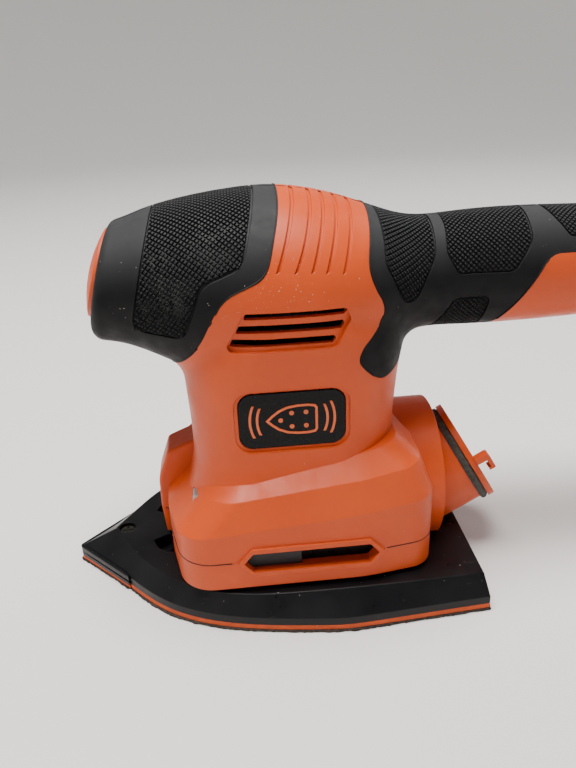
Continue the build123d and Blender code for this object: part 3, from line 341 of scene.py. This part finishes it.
def add_camera():
    data = bpy.data.cameras.new("camera")
    data.sensor_width = 36.0
    data.lens = 33.63
    data.clip_start = 0.01
    camera = bpy.data.objects.new("camera", data)
    bpy.context.collection.objects.link(camera)
    right, up, back = view_axes(CAMERA_AZIMUTH, CAMERA_ELEVATION, CAMERA_ROLL)
    spot = CAMERA_TARGET + back * CAMERA_DISTANCE
    camera.matrix_world = Matrix.Translation(spot) @ Matrix((right, up, back)).transposed().to_4x4()
    bpy.context.scene.camera = camera


def add_floor():
    """A plain round floor whose far edge sweeps up into a backdrop on every side."""
    mesh = bpy.data.meshes.new("floor")
    low = CAD_BOX[0][2]
    profile = [(0.02, 0), (0.5, 0), (1.0, 0)]
    profile += [(1.0 + 0.7 * math.sin(math.radians(t)), 0.7 - 0.7 * math.cos(math.radians(t)))
                for t in range(6, 91, 6)]
    profile.append((1.7, 1.5))
    count = 96
    verts = [(0, 0, low)]
    for reach, rise in profile:
        for k in range(count):
            turn = 2 * math.pi * k / count
            verts.append((reach * math.cos(turn), reach * math.sin(turn), low + rise))
    faces = [(0, 1 + k, 1 + (k + 1) % count) for k in range(count)]
    for row in range(len(profile) - 1):
        for k in range(count):
            a, b = 1 + row * count + k, 1 + row * count + (k + 1) % count
            faces.append((a, a + count, b + count, b))
    mesh.from_pydata(verts, [], faces)
    for face in mesh.polygons:
        face.use_smooth = True
    floor = bpy.data.objects.new("floor", mesh)
    bpy.context.collection.objects.link(floor)
    s = Shader("pale_floor", (0.80, 0.785, 0.77), 0.75)
    s.tint(s.span(s.noise(3.0, 4.0), 0.3, 0.8, 0.0, 0.25), (0.74, 0.725, 0.71))
    mesh.materials.append(s.finish())


def add_light(name, spot, target, size, power, colour):
    data = bpy.data.lights.new(name, "AREA")
    data.shape = "DISK"
    data.size = size
    data.energy = power
    data.color = colour
    lamp = bpy.data.objects.new(name, data)
    bpy.context.collection.objects.link(lamp)
    lamp.location = spot
    aim = Vector(target) - Vector(spot)
    lamp.rotation_euler = aim.to_track_quat("-Z", "Y").to_euler()


def add_world():
    world = bpy.data.worlds.new("studio")
    world.use_nodes = True
    sky = world.node_tree.nodes["Background"]
    sky.inputs["Color"].default_value = (0.80, 0.80, 0.84, 1)
    sky.inputs["Strength"].default_value = 0.09
    bpy.context.scene.world = world


add_camera()
add_floor()
add_world()
add_light("key", (-0.13, -0.03, 1.0), (0.02, 0, 0.06), 0.6, 21.5, (1.0, 0.98, 0.95))
add_light("front", (-0.55, -0.75, 0.60), (0.02, 0, 0.06), 0.6, 0.6, (1.0, 0.97, 0.94))
add_light("rim", (0.75, 0.45, 0.55), (0.05, 0, 0.08), 0.5, 2.6, (0.94, 0.96, 1.0))


# ---------------------------------------------------------------- helpers for pieces
def piece(name, verts, faces, body, slot, smooth=False, finish=None):
    """A new mesh piece that rides on a body, finished as slot unless a finish is given."""
    mesh = bpy.data.meshes.new(name)
    mesh.from_pydata([tuple(v) for v in verts], [], faces)
    mesh.validate()
    mesh.materials.append(finish or FINISHES[slot])
    made = bpy.data.objects.new(name, mesh)
    bpy.context.collection.objects.link(made)
    for face in mesh.polygons:
        face.use_smooth = smooth
    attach(made, body)
    return made


def face_outward(made):
    """Turns every face of a piece to the outside."""
    bm = bmesh.new()
    bm.from_mesh(made.data)
    bmesh.ops.recalc_face_normals(bm, faces=bm.faces)
    bm.to_mesh(made.data)
    bm.free()


def surface_of(*names):
    """A searchable copy of some CAD nodes' outer surfaces."""
    verts, faces = [], []
    for name in names:
        mesh = NODES[name].data
        base = len(verts)
        verts += [v.co.copy() for v in mesh.vertices]
        faces += [tuple(base + i for i in face.vertices) for face in mesh.polygons]
    return BVHTree.FromPolygons(verts, faces)


def inside(outline, x, z):
    """Whether (x, z) lies in a polygon."""
    found = False
    for (x0, z0), (x1, z1) in zip(outline, outline[1:] + outline[:1]):
        if (z0 > z) != (z1 > z) and x < (x1 - x0) * (z - z0) / (z1 - z0) + x0:
            found = not found
    return found


def shrunk(outline, gap):
    """A polygon with each side moved inward by gap. Corners run clockwise or anticlockwise."""
    area = sum(x0 * z1 - x1 * z0 for (x0, z0), (x1, z1) in zip(outline, outline[1:] + outline[:1]))
    turn = 1 if area > 0 else -1
    moved = []
    count = len(outline)
    for i in range(count):
        before, here, after = (Vector(outline[(i + k) % count]) for k in (-1, 0, 1))
        first = (here - before).normalized()
        second = (after - here).normalized()
        n1 = Vector((-first.y, first.x)) * turn
        n2 = Vector((-second.y, second.x)) * turn
        middle = (n1 + n2).normalized()
        reach = gap / max(middle.dot(n1), 0.35)
        moved.append(tuple(here + middle * reach))
    return moved


class Wrap:
    """Measures a round-bodied surface by length along x and distance round from the top."""

    def __init__(self, tree, x_low, x_high, axis_z, side, last_angle=165):
        self.tree, self.axis_z, self.side = tree, axis_z, side
        self.x_low, self.rows = x_low, []
        steps = int((x_high - x_low) / (1.5 * MM)) + 2
        self.step = (x_high - x_low) / (steps - 1)
        for i in range(steps):
            x = x_low + i * self.step
            row = [(0.0, 0.0)]
            last = self.cast(x, 0.002)
            travelled = 0.0
            for degree in range(3, last_angle, 3):
                hit = self.cast(x, math.radians(degree))
                if hit is None or last is None:
                    travelled += 1.5 * MM
                else:
                    travelled += (hit[0] - last[0]).length
                row.append((travelled, math.radians(degree)))
                last = hit or last
            self.rows.append(row)

    def cast(self, x, angle):
        out = Vector((0, self.side * math.sin(angle), math.cos(angle)))
        start = Vector((x, 0, self.axis_z)) + out * 0.07
        hit, normal, _, _ = self.tree.ray_cast(start, -out, 0.068)
        return None if hit is None else (hit, normal)

    def angle_at(self, row, length):
        for (s0, a0), (s1, a1) in zip(row, row[1:]):
            if length <= s1:
                return a0 + (a1 - a0) * (length - s0) / max(s1 - s0, 1e-9)
        return row[-1][1]

    def at(self, x, length):
        place = min(max((x - self.x_low) / self.step, 0), len(self.rows) - 1.001)
        index = int(place)
        share = place - index
        a = self.angle_at(self.rows[index], length)
        b = self.angle_at(self.rows[index + 1], length)
        return self.cast(x, max(a + (b - a) * share, 0.004))


def knurl(name, wrap, outline, x_range, length_max, pitch, rise, gap, band=None):
    """Rows of small flat-topped pyramids set cornerwise, trimmed to the outline.
    Where band(point) is above 0, lines of dust are laid in the grooves."""
    border = shrunk(outline, gap)
    step = pitch / math.sqrt(2)
    known, verts, faces, lines = {}, [], [], []

    def look(i, j):
        """The surface point and normal at a grid place, or None off the patch."""
        if (i, j) not in known:
            x = x_range[0] + (i + j) * step
            length = (i - j) * step
            hit = None
            if -step < length < length_max and x_range[0] <= x <= x_range[1]:
                hit = wrap.at(x, max(length, 0.05 * MM))
            on_patch = hit is not None and inside(border, hit[0].x, hit[0].z)
            known[i, j] = hit if on_patch else None
        return known[i, j]

    def edge_of_patch(good, bad):
        """The last place on the patch on the way from a good grid place to a bad one."""
        here, low, high = look(*good), 0.0, 1.0
        for _ in range(6):
            share = (low + high) / 2
            hit = look(*(g + (b - g) * share for g, b in zip(good, bad)))
            if hit is None:
                high = share
            else:
                here, low = hit, share
        return here

    reach = int((x_range[1] - x_range[0] + length_max) / step) + 2
    for i in range(-2, reach):
        for j in range(-reach, reach):
            keys = [(i, j), (i + 1, j), (i + 1, j + 1), (i, j + 1)]
            hits = [look(*key) for key in keys]
            if not any(hits):
                continue
            rim = []
            for k in range(4):
                n = (k + 1) % 4
                if hits[k]:
                    rim.append(hits[k])
                    if not hits[n]:
                        rim.append(edge_of_patch(keys[k], keys[n]))
                elif hits[n]:
                    rim.append(edge_of_patch(keys[n], keys[k]))
            middle = sum((hit[0] for hit in rim), Vector()) / len(rim)
            spread = [(hit[0] - middle).length for hit in rim]
            if len(rim) < 3 or max(spread) > pitch * 1.3 or min(spread) < pitch * 0.12:
                continue
            lift = sum((hit[1] for hit in rim), Vector()).normalized()
            tall = rise * min(1.0, 1.5 * sum(spread) / len(spread) / (0.7 * pitch))
            base, count = len(verts), len(rim)
            for scale, height in ((1.0, -0.08 * MM), (0.56, tall)):
                verts += [middle + (hit[0] - middle) * scale + lift * height for hit in rim]
            for k in range(count):
                n = (k + 1) % count
                faces.append([base + k, base + n, base + count + n, base + count + k])
            faces.append([base + count + k for k in range(count)])
            faces.append([base + k for k in reversed(range(count))])
            if band and all(hits) and band(middle) > random.random():
                lines += [(hits[0], hits[1]), (hits[0], hits[3])]
    face_outward(piece(name, verts, faces, "housing", "grip_rubber"))
    return lines


def dust_lines(name, lines, height, width):
    """Thin pale strips lying in the grooves between pyramids."""
    verts, faces = [], []
    for (first, out), (second, _) in lines:
        along = (second - first).normalized()
        across = along.cross(out).normalized() * width / 2
        base = len(verts)
        for end in (first, second):
            for sign, lift in ((-1, height), (1, height), (1, -height), (-1, -height)):
                verts.append(end + across * sign + out * lift)
        faces.append([base + k for k in (3, 2, 1, 0)])
        faces.append([base + k for k in (4, 5, 6, 7)])
        faces += [[base + k, base + (k + 1) % 4, base + 4 + (k + 1) % 4, base + 4 + k]
                  for k in range(4)]
    return piece(name, verts, faces, "housing", "grip_rubber", finish=GROOVE_DUST)


def mm(points):
    return [(x * MM, z * MM) for x, z in points]


# Outlines of the sunk patches of the grips, from the side
NOSE = mm([(-26.6, 140), (-37.4, 97.0), (-22.0, 95.0), (-15.4, 111.2), (-3.6, 115.8), (3.4, 140)])
BEHIND = mm([(38.8, 140), (37.4, 112.5), (43.6, 100.4), (47.6, 100.4), (54.6, 112.5), (57.6, 140)])
SIDE = mm([(61.8, 140), (57.8, 112.8), (61.2, 106.6), (79.2, 106.2), (85.4, 115.0), (85.4, 140)])
UNDER = mm([(51.0, 80), (57.0, 91.6), (60.6, 99.4), (72.2, 99.0), (71.4, 86), (70.6, 80)])
BACK = mm([(86.0, 140), (91.4, 123.0), (97.2, 114.8), (138.0, 114.8), (140.0, 140)])


def nose_band(point):
    """How much dust lies in the nose's grooves: most in a band that climbs to the rear."""
    level = (point.z - 112 * MM) - 0.28 * (point.x + 20 * MM)
    share = max(0.0, 1.6 - abs(level) / (8 * MM))
    return share * (0.55 + 0.45 * min(max((point.x + 34 * MM) / (26 * MM), 0), 1))


NOSE_PITCH, NOSE_RISE, NOSE_GAP = 1.26 * MM, 0.56 * MM, 0.55 * MM
HANDLE_PITCH, HANDLE_RISE, HANDLE_GAP = 1.2 * MM, 0.60 * MM, 0.4 * MM

random.seed(11)
for side, word in ((1, "left"), (-1, "right")):
    nose_skin = surface_of(f"nose_grip_{word}")
    handle_skin = surface_of(f"handle_grip_{word}")
    nose_wrap = Wrap(nose_skin, -40 * MM, 5 * MM, 103 * MM, side)
    handle_wrap = Wrap(handle_skin, 36 * MM, 142 * MM, 103.6 * MM, side)
    lines = knurl(f"nose_knurl_{word}", nose_wrap, NOSE, (-40 * MM, 5 * MM), 70 * MM,
                  NOSE_PITCH, NOSE_RISE, NOSE_GAP, nose_band)
    dust_lines(f"nose_dust_{word}", lines, 0.11 * MM, 0.22 * MM)
    for label, outline, low_x, high_x, reach in (
        ("behind", BEHIND, 37, 59, 44), ("side", SIDE, 57, 88, 36),
        ("under", UNDER, 50, 73, 60), ("back", BACK, 86, 141, 32),
    ):
        knurl(f"{label}_knurl_{word}", handle_wrap, outline, (low_x * MM, high_x * MM), reach * MM,
              HANDLE_PITCH, HANDLE_RISE, HANDLE_GAP)


# ---------------------------------------------------------------- behind the windows and louvres
def slab(name, x_range, y_range, z_range, slot):
    """A plain block between the given limits, in millimetres."""
    verts = [(x * MM, y * MM, z * MM) for x in x_range for y in y_range for z in z_range]
    faces = [(0, 1, 3, 2), (4, 6, 7, 5), (0, 4, 5, 1), (2, 3, 7, 6), (0, 2, 6, 4), (1, 5, 7, 3)]
    return piece(name, verts, faces, "housing", slot)


# Dark slabs on both sides behind the windows and louvres: the black ones are painted shade for the
# housing's dim inside, the dark grey block fills the window's front part: name, distance from the
# middle plane, x range, z range, slot
DARK_INTERIOR_SLABS = [
    ("window_shade_back", (32.4, 33.42), (-12.6, 36.8), (17.6, 30.4), "badge_plastic"),
    ("window_shade_lining", (33.42, 36.6), (-9.4, 33.6), (19.9, 27.7), "badge_plastic"),
    ("window_grey_block", (36.6, 38.4), (-8.4, 9.0), (20.4, 26.4), "dark_plastic"),
    ("louvre_shade_lining", (25.6, 26.4), (-11.0, 27.5), (90.0, 106.0), "badge_plastic"),
]
# painted shade: black slabs inside both shells darken what is seen through the openings
for side, word in ((1, "left"), (-1, "right")):
    for name, depth, x_range, z_range, slot in DARK_INTERIOR_SLABS:
        slab(f"{name}_{word}", x_range, sorted(side * y for y in depth), z_range, slot)


# ---------------------------------------------------------------- beads and seams
def tube(name, paths, radius, body, slot, sides=6):
    """Thin round beads along open paths, closed at both ends."""
    verts, faces = [], []
    for path in paths:
        base = len(verts)
        for i, here in enumerate(path):
            along = (path[min(i + 1, len(path) - 1)] - path[max(i - 1, 0)]).normalized()
            across = along.orthogonal().normalized()
            if i:
                across = (last - along * last.dot(along)).normalized()
            last = across
            other = along.cross(across)
            for k in range(sides):
                turn = 2 * math.pi * k / sides
                verts.append(here + (across * math.cos(turn) + other * math.sin(turn)) * radius)
        for i in range(len(path) - 1):
            for k in range(sides):
                n = (k + 1) % sides
                row, after = base + i * sides, base + (i + 1) * sides
                faces.append([row + k, row + n, after + n, after + k])
        faces.append([base + k for k in reversed(range(sides))])
        faces.append([base + (len(path) - 1) * sides + k for k in range(sides)])
    return piece(name, verts, faces, body, slot, smooth=True)


def eased(path, rounds=2):
    """A path with its corners softened, ends kept."""
    for _ in range(rounds):
        path = [path[0]] + [
            (path[i - 1] + path[i] * 2 + path[i + 1]) / 4 for i in range(1, len(path) - 1)
        ] + [path[-1]]
    return path


def first_hit(tree, start, towards):
    hit, _, _, distance = tree.ray_cast(start, towards, 0.2)
    return hit, (distance if hit is not None else 9.0)


def round_ray(side, axis_z):
    """A ray inward to the handle's axis, from a place along x and an angle from the top."""
    def ray(x, angle):
        out = Vector((0, side * math.sin(angle), math.cos(angle)))
        return Vector((x, 0, axis_z)) + out * 0.08, -out
    return ray


def side_ray(side):
    """A ray across the tool, from a place along x and a height."""
    def ray(x, z):
        return Vector((x, side * 0.07, z)), Vector((0, -side, 0))
    return ray


def border_point(soft, hard, ray, fixed, low, high):
    """Where the outermost surface changes between two trees as x runs from low to high."""
    def is_soft(x):
        start, towards = ray(x, fixed)
        a = first_hit(soft, start, towards)
        b = first_hit(hard, start, towards)
        return a[1] < b[1] + 0.02 * MM, (a if a[1] < b[1] else b)[0]
    first = is_soft(low)[0]
    if is_soft(high)[0] == first:
        return None
    for _ in range(16):
        middle = (low + high) / 2
        if is_soft(middle)[0] == first:
            low = middle
        else:
            high = middle
    return is_soft((low + high) / 2)[1]


def chain(points, longest=6 * MM):
    """Splits a run of points where it jumps or has gaps."""
    runs, run = [], []
    for point in points:
        if point is None or (run and (point - run[-1]).length > longest):
            if len(run) > 2:
                runs.append(run)
            run = []
        if point is not None:
            run.append(point)
    if len(run) > 2:
        runs.append(run)
    return [eased(run) for run in runs]


for side, word in ((1, "left"), (-1, "right")):
    shell = surface_of(f"housing_{word}")
    nose = surface_of(f"nose_grip_{word}")
    handle = surface_of(f"handle_grip_{word}")
    rounds, across = round_ray(side, 103 * MM), side_ray(side)
    degrees = [math.radians(a) for a in range(1, 96, 2)]
    nose_edge = [border_point(nose, shell, rounds, a, -25 * MM, 14 * MM) for a in degrees]
    nose_edge += [
        border_point(nose, shell, across, z * MM, -30 * MM, 8 * MM) for z in range(100, 76, -1)
    ]
    neck_edge = [border_point(shell, handle, rounds, a, 24 * MM, 46 * MM) for a in degrees]
    neck_edge += [
        border_point(shell, handle, across, z * MM, 22 * MM, 42 * MM) for z in range(100, 78, -1)
    ]
    inlay = [
        border_point(handle, shell, across, z * 0.5 * MM, 62 * MM, 100 * MM)
        for z in range(178, 221)
    ]
    tube(f"grip_bead_{word}", chain(nose_edge) + chain(neck_edge) + chain(inlay), 0.28 * MM,
         "housing", "grip_rubber")


def outer_profile(trees, xs, start_z, down):
    """Points where the middle plane meets the outside, looked at from above or below."""
    found = []
    for x in xs:
        towards = Vector((0, 0, -1 if down else 1))
        hits = [first_hit(tree, Vector((x, 0.05 * MM, start_z)), towards) for tree in trees]
        best = min(hits, key=lambda h: h[1])
        found.append(best[0])
    return found


def seam_runs():
    trees = [surface_of("housing_left", "nose_grip_left", "handle_grip_left")]
    along = [x * MM for x in range(-42, 187)]
    top = outer_profile(trees, along, 0.16, True)
    nose_foot = outer_profile(trees, [x * MM for x in range(-42, -25)], 0.062, False)
    handle_foot = outer_profile(trees, [x * MM for x in range(58, 151)], 0.060, False)
    return chain(top, 8 * MM) + chain(nose_foot, 8 * MM) + chain(handle_foot, 8 * MM)


tube("shell_seam", seam_runs(), 0.16 * MM, "housing", "grip_rubber")


def skirt_seam():
    """The joint line between the shells and the skirt ring, all round the base."""
    tree = surface_of("housing_left", "housing_right", "skirt_ring", "dust_port")
    points = []
    for degree in range(0, 361):
        out = Vector((math.cos(math.radians(degree)), math.sin(math.radians(degree)), 0))
        centre = Vector((10 * MM, 0, 24 * MM))
        hit, _ = first_hit(tree, centre + out * 0.09, -out)
        on_base = hit is not None and hit.x < 53.5 * MM
        points.append(hit + out * 0.06 * MM if on_base else None)
    window = [
        p if p is not None and not (abs(p.y) > 36 * MM and -12.5 * MM < p.x < 36.5 * MM) else None
        for p in points
    ]
    return chain(window, 5 * MM)


tube("skirt_seam", skirt_seam(), 0.16 * MM, "housing", "grip_rubber")


# ---------------------------------------------------------------- plates on the neck
def prism(verts, faces, outline, y_low, y_high):
    """A flat shape drawn from the side, between two depths."""
    base = len(verts)
    count = len(outline)
    for y in (y_low, y_high):
        verts += [Vector((x, y, z)) for x, z in outline]
    faces.append([base + i for i in range(count)])
    faces.append([base + count + i for i in reversed(range(count))])
    for i in range(count):
        n = (i + 1) % count
        faces.append([base + i, base + count + i, base + count + n, base + n])


def ring_prism(verts, faces, outline, width, y_low, y_high):
    """The same, as a closed line of one width."""
    base, count = len(verts), len(outline)
    within = shrunk(outline, width)
    for y in (y_low, y_high):
        for loop in (outline, within):
            verts += [Vector((x, y, z)) for x, z in loop]
    for i in range(count):
        n = (i + 1) % count
        low_out, low_in, high_out, high_in = (base + k * count for k in range(4))
        faces.append([low_out + i, low_out + n, low_in + n, low_in + i])
        faces.append([high_out + i, high_in + i, high_in + n, high_out + n])
        faces.append([low_out + i, high_out + i, high_out + n, low_out + n])
        faces.append([low_in + i, low_in + n, high_in + n, high_in + i])


def pad_symbol(centre_x, centre_z, size):
    """The plan of a pointed sanding pad, as a plain sign."""
    half = [(-1.0, 0.0), (-0.78, 0.22), (-0.52, 0.42), (-0.2, 0.56), (0.2, 0.62), (0.62, 0.62),
            (0.86, 0.58), (0.95, 0.45)]
    loop = half + [(x, -z) for x, z in reversed(half[1:])]
    return [(centre_x + x * size, centre_z + z * size) for x, z in loop]


def disc_loop(x, z, radius, count=14):
    return [
        (x + radius * math.cos(2 * math.pi * k / count), z + radius * math.sin(2 * math.pi * k / count))
        for k in range(count)
    ]


SIGN_PAINT = plain("sign_orange", (0.74, 0.115, 0.018), 0.45, depth=0.02)

for side, word in ((1, "left"), (-1, "right")):
    low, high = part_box(f"badge_{word}")
    face_y = high.y if side > 0 else low.y
    x, z = (low.x + high.x) / 2, (low.z + high.z) / 2
    verts, faces = [], []
    depth = (face_y - side * 0.05 * MM, face_y + side * 0.22 * MM)
    ring_prism(verts, faces, pad_symbol(x, z, 8.2 * MM), 0.75 * MM, *depth)
    for dx, dz in ((-3.6, 0), (-0.2, 2.3), (-0.2, -2.3), (4.2, 2.3), (4.2, -2.3)):
        prism(verts, faces, disc_loop(x + dx * MM, z + dz * MM, 0.75 * MM), *depth)
    for reach in (11.2, 13.4):
        for turn in (1, -1):
            angles = [math.radians(a) for a in range(-24, 25, 6)]
            arc = [
                (x + turn * reach * MM * math.cos(a), z + reach * MM * math.sin(a)) for a in angles
            ]
            back = [(px - turn * 0.8 * MM, pz) for px, pz in reversed(arc)]
            prism(verts, faces, arc + back, *depth)
    face_outward(
        piece(f"pad_sign_{word}", verts, faces, "housing", "badge_plastic", finish=SIGN_PAINT)
    )


# ---------------------------------------------------------------- felt ring of the dust port
def felt_ring():
    """A ring of rough felt in the port's seat, ragged at its rim."""
    rng = random.Random(5)
    tilt = math.radians(30)
    axis = Vector((math.cos(tilt), 0, math.sin(tilt)))
    across = Vector((0, 1, 0))
    up = axis.cross(across) * -1
    low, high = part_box("port_seal")
    middle = (low + high) / 2
    count, verts, faces = 220, [], []
    section = [
        (16.25, -1.36), (17.5, -1.38), (18.2, -0.9), (18.4, 0.0), (18.15, 0.9), (17.5, 1.38),
        (16.25, 1.36),
    ]
    for i in range(count):
        turn = 2 * math.pi * i / count
        out = across * math.cos(turn) + up * math.sin(turn)
        for k, (radius, along) in enumerate(section):
            ragged = rng.uniform(-0.32, 0.28) if 1 < k < 5 else 0.0
            point = middle + out * (radius + ragged) * MM + axis * along * MM
            verts.append(point)
    size = len(section)
    for i in range(count):
        n = (i + 1) % count
        for k in range(size):
            m = (k + 1) % size
            faces.append([i * size + k, n * size + k, n * size + m, i * size + m])
    ring = piece("felt_ring", verts, faces, "housing", "felt", smooth=True)
    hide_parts("port_seal")


felt_ring()


# ---------------------------------------------------------------- frayed edge of the sheets
def hull_outline(node):
    """The outline of a flat convex node, seen from above."""
    points = sorted({(round(v.co.x, 6), round(v.co.y, 6)) for v in NODES[node].data.vertices})

    def half(run):
        kept = []
        for p in run:
            while len(kept) > 1 and (
                (kept[-1][0] - kept[-2][0]) * (p[1] - kept[-2][1])
                - (kept[-1][1] - kept[-2][1]) * (p[0] - kept[-2][0])
            ) <= 0:
                kept.pop()
            kept.append(p)
        return kept[:-1]

    return [Vector((x, y, 0)) for x, y in half(points) + half(points[::-1])]


def resampled(loop, pitch):
    """Points at a steady pitch along a closed loop."""
    out = []
    for a, b in zip(loop, loop[1:] + loop[:1]):
        count = max(1, round((b - a).length / pitch))
        out += [a + (b - a) * k / count for k in range(count)]
    return out


def fringe(name, node, body, open_side, seed):
    """A frayed lip of grit cloth just outside a sheet's edge."""
    rng = random.Random(seed)
    low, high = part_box(node)
    loop = [p for p in resampled(hull_outline(node), 0.8 * MM) if open_side(p)]
    start = max(range(len(loop)), key=lambda i: (loop[i] - loop[i - 1]).length)
    loop = loop[start:] + loop[:start]
    verts, faces = [], []
    slow = 0.0
    for i, p in enumerate(loop):
        along = loop[min(i + 1, len(loop) - 1)] - loop[max(i - 1, 0)]
        out = Vector((along.y, -along.x, 0)).normalized()
        slow = 0.82 * slow + rng.uniform(-0.10, 0.10)
        reach = (0.45 + slow + rng.uniform(-0.12, 0.20)) * MM
        sag = (0.10 + abs(slow) * 0.4) * MM
        inner = p - out * 0.25 * MM
        tip = p + out * max(reach, 0.06 * MM)
        top, foot = high.z - 0.12 * MM, low.z + 0.10 * MM
        verts += [
            Vector((inner.x, inner.y, top)), Vector((tip.x, tip.y, top - sag)),
            Vector((tip.x, tip.y, max(top - sag - 0.45 * MM, foot))), Vector((inner.x, inner.y, foot)),
        ]
    for i in range(len(loop) - 1):
        for k in range(4):
            m = (k + 1) % 4
            faces.append([i * 4 + k, i * 4 + m, i * 4 + 4 + m, i * 4 + 4 + k])
    faces.append([3, 2, 1, 0])
    faces.append([len(verts) - 4 + k for k in range(4)])
    return piece(name, verts, faces, body, "abrasive")


JOINT_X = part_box("abrasive_sheet")[0].x
fringe("sheet_fringe", "abrasive_sheet", "platen", lambda p: p.x > JOINT_X + 0.4 * MM, 3)
fringe("tip_fringe", "tip_sheet", "tip", lambda p: p.x < JOINT_X - 0.4 * MM, 4)


# ---------------------------------------------------------------- sanding dust
def crumbs(name, body, slot, tree, rays, seed):
    """Tiny irregular grains of wood dust lying on a surface."""
    rng = random.Random(seed)
    verts, faces = [], []
    for start, towards in rays:
        hit, normal, _, _ = tree.ray_cast(start, towards, 0.2)
        if hit is None:
            continue
        size = rng.uniform(0.08, 0.20) * MM
        base = len(verts)
        tangent = normal.orthogonal().normalized()
        other = normal.cross(tangent)
        for k in range(5):
            turn = 2 * math.pi * k / 5 + rng.uniform(-0.4, 0.4)
            spread = size * rng.uniform(0.6, 1.3)
            out = tangent * math.cos(turn) + other * math.sin(turn)
            verts.append(hit + out * spread - normal * 0.03 * MM)
        verts.append(hit + normal * size * rng.uniform(0.4, 0.8))
        faces += [[base + k, base + (k + 1) % 5, base + 5] for k in range(5)]
        faces.append([base + k for k in reversed(range(5))])
    return piece(name, verts, faces, body, slot, finish=WOOD_DUST)


WOOD_DUST = plain("wood_dust", (0.66, 0.62, 0.54), 0.95)
rng = random.Random(11)
shells = surface_of("housing_left", "housing_right", "nose_grip_left", "nose_grip_right")
rays = []
for side in (1, -1):
    for _ in range(30):
        x, z = rng.gauss(4, 10), rng.gauss(109, 3.0)
        rays.append((Vector((x * MM, side * 0.07, z * MM)), Vector((0, -side, 0))))
    for _ in range(18):
        x, z = rng.uniform(-40, -20), rng.uniform(84, 116)
        rays.append((Vector((x * MM, side * 0.07, z * MM)), Vector((0, -side, 0))))
crumbs("dust_on_shell", "housing", "housing_plastic", shells, rays, 21)
deck = surface_of("platen")
rays = []
for _ in range(60):
    x = rng.uniform(-62, 68)
    y = rng.choice((-1, 1)) * rng.uniform(2, 44)
    rays.append((Vector((x, y, 13.9)) * MM, Vector((0, 0, -1))))
crumbs("dust_on_pad", "platen", "platen_plastic", deck, rays, 22)
